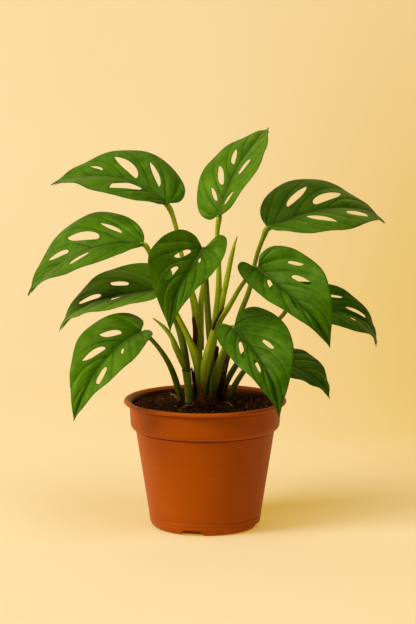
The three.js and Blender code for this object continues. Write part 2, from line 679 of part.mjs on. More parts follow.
const sockets = [];
for (const [name, piece] of Object.entries(standing)) {
  const surface = name.startsWith('stem') ? stemBrown : stalkGreen;
  addPiece(plant, name, buriedRod(piece), name in buriedHusks ? huskBrown : surface);
  sockets.push(buriedRod(piece, GAP));
}
for (const [name, root] of Object.entries(roots)) {
  addPiece(plant, name, rootRod(root), rootBrown);
  sockets.push(rootRod(root, GAP));
}
for (const [name, { radii, route }] of Object.entries(youngLeaves)) {
  addPiece(plant, name, rod(route, radii), youngGreen);
}
for (const [name, { radii, route }] of Object.entries(husks)) {
  addPiece(plant, name, rod(route, radii, 6, 8), huskBrown);
}
addPiece(model, 'pot', makePot(), terracotta);
addPiece(model, 'soil', makeSoil(sockets), earth);

export default model;
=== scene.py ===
# The looks of a small holey-leaved monstera in a plastic nursery pot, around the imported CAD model.
# Plant shapes are worked out in millimetres from the crown, the point where the plant leaves the
# middle of the soil, and written to the meshes in metres in the CAD frame.
import math

import bmesh
import bpy
import numpy as np
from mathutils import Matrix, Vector, noise


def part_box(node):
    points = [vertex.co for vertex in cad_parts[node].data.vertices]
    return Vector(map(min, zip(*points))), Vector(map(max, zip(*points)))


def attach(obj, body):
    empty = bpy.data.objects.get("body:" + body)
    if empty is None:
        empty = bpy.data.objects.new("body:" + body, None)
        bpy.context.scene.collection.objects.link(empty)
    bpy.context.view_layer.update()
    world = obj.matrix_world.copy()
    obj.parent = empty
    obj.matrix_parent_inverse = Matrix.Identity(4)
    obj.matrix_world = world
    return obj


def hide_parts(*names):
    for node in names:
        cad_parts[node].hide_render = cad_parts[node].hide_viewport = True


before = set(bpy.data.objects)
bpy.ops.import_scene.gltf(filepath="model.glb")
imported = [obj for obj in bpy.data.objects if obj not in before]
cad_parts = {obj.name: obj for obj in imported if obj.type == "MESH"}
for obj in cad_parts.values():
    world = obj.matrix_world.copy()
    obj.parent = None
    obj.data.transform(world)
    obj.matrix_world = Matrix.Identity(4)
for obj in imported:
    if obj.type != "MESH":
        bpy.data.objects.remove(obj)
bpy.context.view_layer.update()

MM = 0.001
_, pot_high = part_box("pot")
POT_RIM = pot_high.z / MM
# The pot's sizes, as in the CAD part.
RIM_RADIUS = 60.0
LIP_RADIUS = 1.6
WALL = 1.8
FLOOR = 2.2
COLLAR_INSET = 3.9
COLLAR_TAPER = 1.0
COLLAR_DROP = 15.9
SHOULDER_HEIGHT = 4.6
SHOULDER_STEP = 3.7
BASE_RADIUS = 41.2
BASE_EDGE = 7.5
SOIL_BELOW_RIM = 4
MOUND_HEIGHT = 3
MOUND_RADIUS = 34
CROWN = POT_RIM - SOIL_BELOW_RIM + MOUND_HEIGHT
RNG = np.random.default_rng(7)


# ---------------------------------------------------------------- meshes
def mesh_object(name, points, faces, attributes=None, uv=None, smooth=True):
    """A mesh object from points in millimetres in the CAD frame."""
    mesh = bpy.data.meshes.new(name)
    whole = [tuple(int(i) for i in f) for f in faces]
    mesh.from_pydata((np.asarray(points) * MM).tolist(), [], whole)
    mesh.update()
    for key, values in (attributes or {}).items():
        layer = mesh.attributes.new(key, "FLOAT", "POINT")
        layer.data.foreach_set("value", np.asarray(values, np.float32))
    if uv is not None:
        corners = np.zeros(len(mesh.loops), np.int32)
        mesh.loops.foreach_get("vertex_index", corners)
        layer = mesh.uv_layers.new(name="UVMap")
        layer.data.foreach_set("uv", np.asarray(uv, np.float32)[corners].ravel())
    mesh.polygons.foreach_set("use_smooth", [smooth] * len(mesh.polygons))
    thing = bpy.data.objects.new(name, mesh)
    bpy.context.scene.collection.objects.link(thing)
    return thing


def finish_piece(thing, material, slot, *nodes):
    thing.data.materials.append(material)
    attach(thing, "root")
    if nodes:
        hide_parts(*nodes)


class Parts:
    """Several closed shells gathered into one mesh, each with its own attribute values."""

    def __init__(self):
        self.points, self.faces, self.values, self.uv, self.count = [], [], {}, [], 0

    def add(self, points, faces, uv=None, **values):
        points = np.asarray(points, float)
        self.points.append(points)
        self.faces += [tuple(i + self.count for i in f) for f in faces]
        self.uv.append(np.zeros((len(points), 2)) if uv is None else np.asarray(uv))
        for key, value in values.items():
            column = np.broadcast_to(np.asarray(value, float), len(points))
            self.values.setdefault(key, []).append(column)
        self.count += len(points)

    def build(self, name, smooth=True):
        values = {key: np.concatenate(rows) for key, rows in self.values.items()}
        return mesh_object(name, np.concatenate(self.points), self.faces, values,
                           np.concatenate(self.uv), smooth)


def smoothstep(x, low=0.0, high=1.0):
    t = np.clip((np.asarray(x, float) - low) / (high - low), 0, 1)
    return t * t * (3 - 2 * t)


def noise_field(points, scale, seed):
    """Smooth noise from about -1 to 1 at points in millimetres; scale is its wavelength."""
    shift = Vector((seed * 17.3, seed * 5.1, seed * 9.7))
    return np.array([noise.noise(Vector(p) / scale + shift) for p in np.asarray(points, float)])


# ---------------------------------------------------------------- curves and rods
def length_along(line):
    return np.concatenate([[0], np.cumsum(np.linalg.norm(np.diff(line, axis=0), axis=1))])


def curve_through(points, step):
    """Points every step millimetres on a smooth curve; any fourth column is carried along."""
    knots = np.asarray(points, float)
    padded = np.vstack([2 * knots[0] - knots[1], knots, 2 * knots[-1] - knots[-2]])
    out = []
    for i in range(1, len(padded) - 2):
        p0, p1, p2, p3 = padded[i - 1:i + 3]
        steps = [np.linalg.norm((b - a)[:3]) ** 0.5 + 1e-9 for a, b in ((p0, p1), (p1, p2), (p2, p3))]
        t1, t2, t3 = np.cumsum(steps)
        t = np.linspace(t1, t2, 24, endpoint=False)[:, None]
        a1 = (t1 - t) / t1 * p0 + t / t1 * p1
        a2 = (t2 - t) / (t2 - t1) * p1 + (t - t1) / (t2 - t1) * p2
        a3 = (t3 - t) / (t3 - t2) * p2 + (t - t2) / (t3 - t2) * p3
        b1 = (t2 - t) / t2 * a1 + t / t2 * a2
        b2 = (t3 - t) / (t3 - t1) * a2 + (t - t1) / (t3 - t1) * a3
        out.append((t2 - t) / (t2 - t1) * b1 + (t - t1) / (t2 - t1) * b2)
    fine = np.vstack(out + [knots[-1:]])
    length = length_along(fine[:, :3])
    count = max(4, int(round(length[-1] / step)))
    even = np.linspace(0, length[-1], count + 1)
    return np.stack([np.interp(even, length, column) for column in fine.T], axis=1)


def frames_along(line, up):
    """Face and side directions; face starts near up and turns as little as it can."""
    tangent = np.gradient(line, axis=0)
    tangent /= np.linalg.norm(tangent, axis=1)[:, None]
    face = np.zeros_like(line)
    current = np.asarray(up, float)
    for i, t in enumerate(tangent):
        current = current - current.dot(t) * t
        current /= np.linalg.norm(current)
        face[i] = current
    return face, np.cross(tangent, face)


def tube_faces(rows, sides, flip=False):
    """Quads between rings of points, then a fan to each end point, which follow the rings."""
    faces = []
    for i in range(rows - 1):
        for j in range(sides):
            k = (j + 1) % sides
            faces.append((i * sides + j, (i + 1) * sides + j, (i + 1) * sides + k, i * sides + k))
    first, last, top = rows * sides, rows * sides + 1, (rows - 1) * sides
    for j in range(sides):
        k = (j + 1) % sides
        faces += [(first, j, k), (last, top + k, top + j)]
    return [(f[0],) + f[:0:-1] for f in faces] if flip else faces


def circle(radius, height, angle):
    return np.stack([radius * np.cos(angle), radius * np.sin(angle), np.full(len(angle), height)], axis=1)


def rod(line, radius, sides, section=None, up=(0, -1, 0.1)):
    """A closed rod about a line. section(angle, share) scales the radius; angle 0 faces up."""
    face, side = frames_along(line, up)
    share = np.linspace(0, 1, len(line))
    angle = np.linspace(-math.pi, math.pi, sides, endpoint=False)
    grid_angle, grid_share = np.meshgrid(angle, share)
    scale = np.ones_like(grid_angle) if section is None else section(grid_angle, grid_share)
    size = np.asarray(radius)[:, None] * scale
    points = (line[:, None] + (size * np.cos(grid_angle))[..., None] * face[:, None]
              + (size * np.sin(grid_angle))[..., None] * side[:, None]).reshape(-1, 3)
    points = np.vstack([points, line[0], line[-1] + (line[-1] - line[-2]) * 0.6])
    length = length_along(line)
    uv = np.stack([grid_angle.ravel(), np.repeat(length, sides)], axis=1)
    uv = np.vstack([uv, [[0, 0], [0, length[-1]]]])
    shares = np.concatenate([grid_share.ravel(), [0, 1]])
    return points, tube_faces(len(line), sides), uv, shares


# ---------------------------------------------------------------- plant data, as in the CAD part
STALKS = {
    "top_left": ((1.9, 2, 2.4, 3, 2.9, 1.8, 1.6, 1.7), [(-3.5, 8, 3), (-4, 8, 19.5), (-4.5, 8, 36),
        (-6, 8.5, 53), (-7.5, 9.5, 68), (-12.5, 13, 88), (-17.5, 15, 106.5), (-22, 17, 128)]),
    "top": ((2.6, 2.8, 3, 3.1, 2.4, 1.8, 1.7), [(3.5, 17, 3.5), (4.5, 17, 19.5), (6, 15.5, 42),
        (9, 15, 63.5), (10, 14, 80), (10, 13, 101), (9, 12.5, 123.5)]),
    "top_right": ((2.2, 2.4, 2.3, 2.1, 1.9, 1.6, 1.8), [(10.5, 15.5, 4), (14.5, 15, 23.5),
        (20.5, 13.5, 41), (26, 11.5, 62.5), (32.5, 10.5, 80.5), (38, 10, 106), (43.5, 9.5, 121.5)]),
    "upper_left": ((1.8, 2.3, 3.1, 2.2, 1.8, 1.6), [(-4, 1, 2), (-5.5, -2, 21), (-7.5, -3, 34),
        (-13.5, -3.5, 49.5), (-20.5, -5, 64), (-34.5, -6, 93)]),
    "lower_left": ((3, 2.7, 2.3, 1.8), [(-14, -1.5, 25.8), (-16.5, 2.5, 42), (-21, 6, 57),
        (-28, 8, 73.5)]),
    "front": ((2.2, 2.4, 2.5, 2.3, 1.8), [(3, 7.5, 4.5), (4.5, 6, 28), (3, 4, 51), (1.5, 0, 71.5),
        (0.5, -10, 94.5)]),
    "right_front": ((1.6, 2.6, 3.6, 3.6, 2.8, 2, 1.6), [(-1, -5, 3), (-1, -7, 14.5), (0, -7.5, 25),
        (4, -8.5, 41.5), (9, -9.5, 58), (17.5, -11, 71.5), (27.5, -13, 88.5)]),
    "right_rear": ((2.1, 2.3, 2.1, 1.9, 1.6), [(13, 24, 0), (18, 21.5, 13.5), (27.5, 20, 28.5),
        (43.5, 20.5, 46), (58, 23, 60)]),
    "low_front": ((2.4, 3.3, 2.9, 2.2, 1.9), [(5, 3, 0), (7, 0, 13.5), (10.5, -5.5, 28.5),
        (15.5, -14, 43.5), (19, -21, 53)]),
    "low_right": ((2.4, 2.2, 1.9, 1.6), [(18, 5, 0.5), (23, 7, 11.5), (31.5, 9.5, 23), (42, 13.5, 30)]),
    "low_left": ((2.3, 2.4, 2, 1.6), [(-18.5, 6, -0.5), (-21.5, 3, 13), (-27.5, -7, 30), (-37, -14, 45)]),
}
STEMS = {
    "stem_left": ((2.7, 2.9, 3.2), [(-12, -3.5, -0.5), (-12.5, -3, 11), (-14, -1.5, 25)]),
    "stem_middle": ((1.9, 1.9, 1.1), [(-8, 3.5, 0.5), (-7.5, 3.5, 12.5), (-7, 3, 26.5)]),
    "stem_rear": ((2.2, 2.4, 1.4), [(6.5, 12, 3.5), (6.5, 11, 19), (9, 9.5, 38.5)]),
    "stem_right": ((2.4, 2.6, 1.6), [(11.5, 10, 4), (13, 9, 16), (17.5, 7.5, 33.5)]),
}
YOUNG = {
    "new_leaf_tall": ((1.5, 2, 2, 1.8, 1.2, 0.4), [(11, 9, 62), (13, 8.5, 73), (16, 7.5, 88.5),
        (18.5, 6, 102.5), (21, 4.5, 113), (23.5, 4, 121)]),
    "new_leaf_middle": ((1.5, 2.2, 2, 0.6), [(-2.5, 14, 35), (-3, 14, 53.5), (-3, 13.5, 72.5),
        (-1, 13, 90.5)]),
    "new_leaf_small": ((2.1, 2.3, 1.7, 1.2, 0.4), [(-17.5, -7, 29.5), (-20.5, -8, 38.5),
        (-25.5, -8.5, 49.5), (-32, -9, 57.5), (-38, -9.5, 62.5)]),
}
HUSKS = {
    "sheath_left": ((0.4, 1.9, 1.1), [(-7.5, 3.5, 39), (-7, 3, 52.5), (-8, 3.5, 61.5)]),
    "sheath_low": ((0.8, 0.9, 0.7), [(-8.5, -1.5, 12), (-9, -1, 19), (-9.5, -1, 24.5)]),
    "sheath_right": ((0.4, 0.9, 0.4), [(5.5, -13, 54.5), (8, -13.5, 61), (14, -14, 71)]),
    "crown_husk": ((2.3, 2, 1.1), [(-2, -10.5, 0.5), (-2.5, -11, 8), (-4, -11.5, 15.5)]),
}
ROOTS = {
    "root_front_left": ((0.8, 0.7, 0.5), [(-6, -13, 0), (-12, -17, 0), (-19, -19, -2)]),
    "root_front_right": ((0.8, 0.7, 0.5), [(12, -4, 0.5), (17, -9, 0), (21, -15, -2)]),
    "root_rear": ((0.8, 0.7, 0.5), [(-20, 22, -1.5), (-24, 30, -1), (-27, 38, -2.5)]),
}


def blade(foot, tip, roll, bow, skew, lean, droop, width, lift, lobe, slant, holes):
    """A blade from its foot to its tip. Pairs are for its left and right halves. Each hole has its
    place along the blade, where it starts and ends on the way to the margin, and its half-width."""
    return dict(foot=np.array(foot, float), tip=np.array(tip, float), roll=roll, bow=bow, skew=skew,
                lean=lean, droop=droop, width=width, lift=lift, lobe=lobe, slant=slant, holes=holes)


# How light and yellow each blade is; 0 is the darkest.
TONE = {"top_left": 0.45, "top": 0.8, "top_right": 0.5, "upper_left": 0.6, "lower_left": 1.3,
        "front": 0.6, "right_front": 0.35, "right_rear": 0.1, "low_front": 0.35, "low_right": 0.2,
        "low_left": 0.7}
BLADES = {
    "top_left": blade(
        (-27, 18, 143.5), (-116, 57, 153), -13, 14, -0.1, 2.5, 9,
        (29, 38), (14, 32), (-0.1, 0.6), (0.1, 0.2),
        ([(0.5, 0.13, 0.78, 0.06), (0.78, 0.14, 0.47, 0.06)],
         [(0.4, 0.17, 0.67, 0.029), (0.6, 0.09, 0.72, 0.04), (0.77, 0.2, 0.59, 0.012)])),
    "top": blade(
        (9, 12, 135), (48, 65, 195.5), -10, 10.5, -0.2, 4.5, 3.5,
        (27.5, 26.5), (20, 15), (0.3, 0), (0.2, 0.2),
        ([(0.42, 0.11, 0.46, 0.025), (0.56, 0.11, 0.55, 0.034), (0.71, 0.12, 0.58, 0.025)],
         [(0.37, 0.19, 0.47, 0.042), (0.6, 0.26, 0.58, 0.039)])),
    "top_right": blade(
        (46, 9.5, 127.5), (136.5, 72, 122.5), 28, 15, 0.2, -1, 5.5,
        (36.5, 31), (13, 15), (0.1, -0.1), (0.3, 0.1),
        ([(0.48, 0.25, 0.7, 0.038), (0.68, 0.14, 0.65, 0.045)],
         [(0.52, 0.15, 0.72, 0.027), (0.72, 0.36, 0.82, 0.043)])),
    "upper_left": blade(
        (-45, -5, 117.5), (-131.5, 18, 75), -25, 14.5, -0.1, 0, 9,
        (26, 40), (19, 26), (0, 0.1), (0.2, 0.3),
        ([(0.58, 0.38, 0.73, 0.033)],
         [(0.43, 0.22, 0.58, 0.027), (0.62, 0.15, 0.62, 0.05), (0.78, 0.16, 0.59, 0.026)])),
    "lower_left": blade(
        (-31, 8, 82.5), (-109, 31.5, 46), -27, 11.5, 0.4, -1, 3,
        (27, 29.5), (17, 21), (0.4, 0.7), (0.1, 0.3),
        ([(0.58, 0.14, 0.42, 0.028)],
         [(0.57, 0.23, 0.5, 0.038), (0.78, 0.11, 0.57, 0.041)])),
    "front": blade(
        (-1.5, -22, 116), (-25, -54, 60), -24, 13.5, 1, 1.5, -2,
        (16, 32), (-1, 34), (1.4, 0.7), (0.2, 0.4),
        ([(0.47, 0.02, 0.19, 0.027)],
         [(0.45, 0.18, 0.48, 0.053), (0.65, 0.25, 0.59, 0.041)])),
    "right_front": blade(
        (38, -15, 101), (90, -42, 46), 44, 10.5, 0.9, -1.5, 1.5,
        (30.5, 16.5), (27, 15), (0.6, 1), (0.3, 0.1),
        ([(0.35, 0.54, 0.78, 0.028), (0.55, 0.32, 0.64, 0.039)],
         [(0.46, 0.02, 0.49, 0.028), (0.68, 0.07, 0.63, 0.02)])),
    "right_rear": blade(
        (64, 25, 67.5), (129.5, 55.5, 30), 47, 20, 0.2, 1.5, 3,
        (20, 21), (18, 20), (1.4, 0), (0.3, 0.1),
        ([(0.46, 0.46, 0.68, 0.032), (0.73, 0.17, 0.54, 0.06)],
         [(0.66, 0.34, 0.5, 0.016)])),
    "low_front": blade(
        (20.5, -25, 59), (53, -66, 0), 18, 16.5, 0.5, 0, 4.5,
        (31, 18), (28, 6), (1, 0.6), (0.3, 0.2),
        ([(0.58, 0.29, 0.53, 0.034)],
         [(0.51, 0.2, 0.67, 0.033), (0.7, 0.25, 0.58, 0.034)])),
    "low_right": blade(
        (46.5, 15, 32.5), (92.5, 9.5, -1.5), 18, 7, 0.7, 2, 1,
        (21.5, 21), (12, 7), (-0.1, 0.9), (0.2, 0.2),
        ([], [])),
    "low_left": blade(
        (-46, -20, 54.5), (-94, -61.5, -4), -8, 15, 0, -2.5, 8,
        (28.5, 31), (23, 40), (0.2, 1.1), (0.1, 0.2),
        ([(0.53, 0.36, 0.59, 0.014), (0.71, 0.37, 0.84, 0.039)],
         [(0.44, 0.18, 0.56, 0.044), (0.63, 0.17, 0.67, 0.036)])),
}
# The outline of one half: place along it, share of the half-width, share of the length.
LOBED = np.array([
    (0, 0, 0), (0.07, 0.26, -0.105), (0.16, 0.66, -0.105), (0.27, 0.94, 0.05), (0.39, 1, 0.26),
    (0.54, 0.87, 0.48), (0.69, 0.6, 0.68), (0.84, 0.27, 0.86), (0.93, 0.09, 0.945), (1, 0, 1)])
PLAIN = np.array([
    (0, 0, 0), (0.07, 0.16, 0), (0.16, 0.4, 0.03), (0.27, 0.7, 0.11), (0.39, 0.92, 0.25),
    (0.54, 1, 0.45), (0.69, 0.76, 0.66), (0.84, 0.34, 0.86), (0.93, 0.11, 0.945), (1, 0, 1)])
RIB_HALF_WIDTH = 0.9
VEIN_SPACING = 0.15
VEIN_START = 0.16
BLADE_ROWS = 30
BAND_COLUMNS = 12
BLADE_THICKNESS = 0.5


# ---------------------------------------------------------------- blades
def margin_at(place, lobe):
    """The outline at a place along it, as shares of the half-width and the length."""
    knots = PLAIN + lobe * (LOBED - PLAIN)
    x, values = knots[:, 0], knots[:, 1:]
    slopes = np.gradient(values, x, axis=0)
    i = np.clip(np.searchsorted(x, place, side="right") - 1, 0, len(x) - 2)
    span = (x[i + 1] - x[i])[..., None]
    u = (place - x[i])[..., None] / span
    both = ((2 * u ** 3 - 3 * u ** 2 + 1) * values[i] + (u ** 3 - 2 * u ** 2 + u) * span * slopes[i]
            + (3 * u ** 2 - 2 * u ** 3) * values[i + 1] + (u ** 3 - u ** 2) * span * slopes[i + 1])
    return both[..., 0], both[..., 1]


def vein_point(vein, reach, lobe, slant):
    """A point on a side vein, reach being the share of the way from the midrib to the margin."""
    place = vein + slant * (reach - 0.45) * 4 * vein * (1 - vein)
    across, along = margin_at(place, lobe)
    start = np.clip((place - VEIN_START) / (1 - VEIN_START), 0, 1) ** 1.5
    bend = start + 0.2 * (along - start)
    ahead = (1 - reach) ** 2 * start + 2 * reach * (1 - reach) * bend + reach ** 2 * along
    return reach * across, ahead


def blade_axes(b):
    length = b["tip"] - b["foot"]
    forward = length / np.linalg.norm(length)
    up = np.array([0, 0, 1.0]) - forward[2] * forward
    up /= np.linalg.norm(up)
    across = np.cross(forward, up)
    roll = math.radians(b["roll"])
    normal = up * math.cos(roll) + across * math.sin(roll)
    return length, normal, np.cross(forward, normal)


def blade_point(b, half, vein, reach, relief=0.0):
    length, normal, right = blade_axes(b)
    side = -1 if half == 0 else 1
    across, along = vein_point(vein, reach, b["lobe"][half], b["slant"][half])
    arch = 4 * along * (1 - along)
    lift = math.radians(b["lift"][half])
    out = across * b["width"][half]
    rib = RIB_HALF_WIDTH * np.clip(1 - along, 0, 1)
    height = (b["bow"] * arch * (1 + b["skew"] * (2 * along - 1)) + out * math.sin(lift)
              - b["droop"] * across ** 2 + relief)
    shift = side * (rib + out * math.cos(lift)) + b["lean"] * arch
    return (b["foot"] + along[..., None] * length + shift[..., None] * right
            + height[..., None] * normal), out


def vein_places(holes):
    """Side veins run between the holes, and carry on at their usual spacing."""
    middle = [hole[0] for hole in holes] or [0.5]
    before = list(np.arange(middle[0] - VEIN_SPACING / 2, 0.1, -VEIN_SPACING))[::-1]
    between = []
    for a, b in zip(middle, middle[1:]):
        count = max(1, math.floor((b - a) / VEIN_SPACING + 0.5))
        between += [a + (b - a) * (k + 0.5) / count for k in range(count)]
    after = list(np.arange(middle[-1] + VEIN_SPACING / 2, 0.95, VEIN_SPACING))
    return [0.0] + before + between + after + [1.0]


def hole_width(share):
    """The width of a hole along its length, in half-widths."""
    return 1.15 * np.sin(math.pi * np.clip(share, 0, 1) ** 0.8) ** 0.85


def half_columns(b, half):
    """Columns of one half: vein and reach at every row, place in the band, and the open cells."""
    veins = vein_places(b["holes"][half])
    rows = np.arange(BLADE_ROWS + 1)
    usual = (rows / BLADE_ROWS) ** 1.15
    columns = []
    for band, (low, high) in enumerate(zip(veins, veins[1:])):
        hole = next((h for h in b["holes"][half] if low < h[0] < high), None)
        count = BAND_COLUMNS if high - low > 0.08 else BAND_COLUMNS // 2
        if hole is None:
            for c in range(count):
                place = low + (high - low) * c / count
                columns.append((np.full(len(rows), place), usual, band, c / count, None))
            continue
        place, start, end, half_width = hole
        first = int(np.searchsorted(usual, start))
        last = int(np.searchsorted(usual, end))
        warped = np.interp(rows, [0, first, last, BLADE_ROWS], [0, start, end, 1])
        share = (rows - first) / (last - first)
        width = half_width * np.where((share > 0) & (share < 1), hole_width(share), 0)
        part = count // 2
        for c in range(part + 1):
            s = c / part
            spot = low + (place - width - low) * s
            open_rows = (first, last) if c == part else None
            columns.append((spot, usual + (warped - usual) * s, band, 0.5 * s, open_rows))
        for c in range(part):
            s = c / part
            spot = place + width + (high - place - width) * s
            columns.append((spot, warped + (usual - warped) * s, band, 0.5 + 0.5 * s, None))
    columns.append((np.ones(len(rows)), usual, len(veins) - 1, 0.0, None))
    return columns


QUILT = 1.0          # how far the surface rises between two side veins, in mm


def blade_relief(reach, low, high, fraction, has_hole):
    """Height of the quilting over the plain blade, and how near each point is to a side vein."""
    room = np.clip((high - low) / VEIN_SPACING, 0, 1.3) * (0.45 if has_hole else 1.0)
    swell = np.sin(math.pi * fraction) ** 1.3
    fade = smoothstep(reach, 0.0, 0.3) * (1 - 0.75 * smoothstep(reach, 0.6, 1.0))
    near = np.exp(-(np.minimum(fraction, 1 - fraction) / 0.06) ** 2)
    if not has_hole:
        near = near + 0.6 * np.exp(-((fraction - 0.5) / 0.05) ** 2)
    return QUILT * room * swell * fade - 0.3 * near * fade, near * (1 - 0.6 * reach)


def blade_sheet(b, seed):
    """Points, quads and attributes of the blade's middle surface, with its holes."""
    points, values, faces, ribs = [], [], [], []
    rows = BLADE_ROWS + 1
    count = 0
    for half in (0, 1):
        columns = half_columns(b, half)
        veins = vein_places(b["holes"][half])
        first = count
        for spot, reach, band, fraction, _ in columns:
            low = veins[band]
            high = veins[min(band + 1, len(veins) - 1)]
            high = high if high > low else low + VEIN_SPACING
            has_hole = any(low < hole[0] < high for hole in b["holes"][half])
            relief, near = blade_relief(reach, low, high, np.full(rows, fraction), has_hole)
            _, out = blade_point(b, half, spot, reach)
            relief = relief - 0.5 * np.exp(-(out / 1.6) ** 2)
            wave = np.sin(2 * math.pi * (4.3 * spot + 0.37 * seed + 0.5 * half)) * reach ** 3
            ends = smoothstep(spot, 0, 0.05) * smoothstep(1 - spot, 0, 0.04)
            place, out = blade_point(b, half, spot, reach, (relief + 0.55 * wave) * ends)
            points.append(place)
            rib = np.exp(-(out / 0.9) ** 2)
            values.append(np.stack([near, rib, reach], axis=1))
            count += rows
        ribs.append([first + i * rows for i in range(len(columns))])
        for i in range(len(columns) - 1):
            gap = columns[i][4]
            for r in range(BLADE_ROWS):
                if gap and gap[0] <= r < gap[1]:
                    continue
                a, d = first + i * rows + r, first + (i + 1) * rows + r
                faces.append((a, d, d + 1, a + 1) if half == 0 else (a, a + 1, d + 1, d))
    points = np.concatenate(points)
    length, normal, _ = blade_axes(b)
    # The strip between the two halves is the midrib.
    along = (points - b["foot"]) @ length
    left, right = ribs
    i = j = 0
    while i < len(left) - 1 or j < len(right) - 1:
        step_left = j == len(right) - 1 or (
            i < len(left) - 1 and along[left[i + 1]] <= along[right[j + 1]])
        if step_left:
            faces.append((left[i], right[j], left[i + 1]))
            i += 1
        else:
            faces.append((left[i], right[j], right[j + 1]))
            j += 1
    points = points + (0.7 * noise_field(points, 26, seed))[:, None] * normal
    return points, np.concatenate(values), faces


def merge_points(points, values, faces):
    """Points closer than 0.004 mm become one, and faces that vanish are dropped."""
    keys = np.round(points / 0.004).astype(np.int64)
    _, first, same = np.unique(keys, axis=0, return_index=True, return_inverse=True)
    same = same.ravel()
    clean = []
    for face in faces:
        ring = [int(same[i]) for i in face]
        ring = [v for k, v in enumerate(ring) if v != ring[k - 1]]
        if len(ring) >= 3 and len(set(ring)) == len(ring):
            clean.append(tuple(ring))
    return points[first], values[first], clean


def point_normals(points, faces):
    normals = np.zeros_like(points)
    for size in (3, 4):
        ring = np.array([f for f in faces if len(f) == size], int).reshape(-1, size)
        corner = points[ring]
        across = np.cross(corner[:, 2] - corner[:, 0], corner[:, -1] - corner[:, 1])
        for k in range(size):
            np.add.at(normals, ring[:, k], across)
    length = np.linalg.norm(normals, axis=1)
    return normals / np.maximum(length, 1e-9)[:, None]


def thicken(points, values, faces, thickness, ridge):
    """A closed sheet with rounded edges from its middle surface. ridge deepens the underside."""
    normals = point_normals(points, faces)
    edges = {(a, b) for f in faces for a, b in zip(f, f[1:] + f[:1])}
    border = [(a, b) for a, b in edges if (b, a) not in edges]
    outward = np.zeros_like(points)
    for a, b in border:
        step = np.cross(points[b] - points[a], normals[a] + normals[b])
        step /= max(np.linalg.norm(step), 1e-9)
        outward[a] += step
        outward[b] += step
    outward /= np.maximum(np.linalg.norm(outward, axis=1), 1e-9)[:, None]
    on_border = np.zeros(len(points), bool)
    on_border[[a for a, _ in border]] = True
    half = np.where(on_border, 0.3, 0.5) * thickness
    top = points + normals * half[:, None]
    bottom = points - normals * (half + ridge * ~on_border)[:, None]
    rim_index = np.flatnonzero(on_border)
    rim = points[rim_index] + outward[rim_index] * 0.35 * thickness
    n = len(points)
    to_rim = {int(v): 2 * n + k for k, v in enumerate(rim_index)}
    shell = list(faces) + [tuple(v + n for v in reversed(f)) for f in faces]
    for a, b in sorted(border):
        shell.append((b, a, to_rim[a], to_rim[b]))
        shell.append((to_rim[b], to_rim[a], a + n, b + n))
    under = np.concatenate([np.zeros(n), np.ones(n), np.full(len(rim), 0.5)])
    edge = np.concatenate([on_border, on_border, np.ones(len(rim))]).astype(float)
    values = np.vstack([values, values, values[rim_index]])
    return np.vstack([top, bottom, rim]), values, shell, under, edge


def make_blade(name, b, seed, material):
    points, values, faces = merge_points(*blade_sheet(b, seed))
    ridge = 0.22 * values[:, 0]
    points, values, shell, under, edge = thicken(points, values, faces, BLADE_THICKNESS, ridge)
    parts = Parts()
    parts.add(points, shell, near=values[:, 0], rib=values[:, 1], reach=values[:, 2],
              under=under, edge=edge, tone=TONE[name])
    # The raised midrib under the blade.
    share = np.linspace(0.0, 0.97, 60)
    vein = VEIN_START + (1 - VEIN_START) * share ** (1 / 1.5)
    both = [blade_point(b, half, vein, np.zeros_like(vein))[0] for half in (0, 1)]
    _, normal, _ = blade_axes(b)
    radius = 1.05 * (1 - share) ** 0.8 + 0.15
    line = 0.5 * (both[0] + both[1]) - (0.7 + 0.55 * radius)[:, None] * normal
    tube, quads, _, _ = rod(line, radius, 10, up=normal)
    parts.add(tube, quads, near=0, rib=1, reach=0, under=1, edge=0, tone=TONE[name])
    for block in parts.points:
        block[:, 2] += CROWN
    finish_piece(parts.build("blade_" + name), material, "leaf_blade", "leaf_" + name)


# ---------------------------------------------------------------- stalks, stems and the rest
# How far up each stalk its sheath's two lips run, as a share of the stalk.
SHEATH = {"top": 0.5, "upper_left": 0.5, "right_front": 0.6, "low_front": 0.4, "low_left": 0.35,
          "lower_left": 0.3, "top_left": 0.35, "right_rear": 0.35, "top_right": 0.3}
# How light and yellow each stalk is, from 0 to 1.
STALK_TONE = {"top": 0.95, "upper_left": 0.75, "right_front": 0.55, "top_left": 0.7, "low_front": 0.35,
              "new_leaf_tall": 0.7, "new_leaf_middle": 0.65, "new_leaf_small": 0.5, "low_left": 0.12,
              "front": 0.05, "lower_left": 0.1, "top_right": 0.3, "right_rear": 0.3, "low_right": 0.1}
BURIED = 6             # how far stalks and stems go on into the soil, in mm


def lifted(points):
    moved = np.array(points, float)
    moved[:, 2] += CROWN
    return moved


def finish_rod(name, shell, material, slot, node, **values):
    points, faces, uv, shares = shell
    parts = Parts()
    parts.add(points, faces, uv, share=shares, **values)
    finish_piece(parts.build(name), material, slot, node)


def rod_line(radii, route, step, buried):
    """The centre line and radii of a rod, its foot carried on straight down."""
    knots = np.column_stack([np.array(route, float), radii])
    if buried:
        knots = np.vstack([knots[0] - (0, 0, buried, 0), knots])
    line = curve_through(lifted(knots), step)
    return line[:, :3], line[:, 3]


def stalk_line(name):
    """The stalk's line and radii, bent at the blade's foot to run a little way under the midrib."""
    radii, route = STALKS[name]
    b = BLADES[name]
    length, normal, _ = blade_axes(b)
    end = b["foot"] - normal * (0.6 + radii[-1])
    runs = []
    for share in (0.05, 0.12):
        arch = b["bow"] * 4 * share * (1 - share) * (1 + b["skew"] * (2 * share - 1))
        runs.append(b["foot"] + share * length + (arch - 2.4) * normal)
    buried = 3 if name == "lower_left" else BURIED
    return rod_line(tuple(radii) + (radii[-1],) * 3, list(route) + [end] + runs, 1.3, buried)


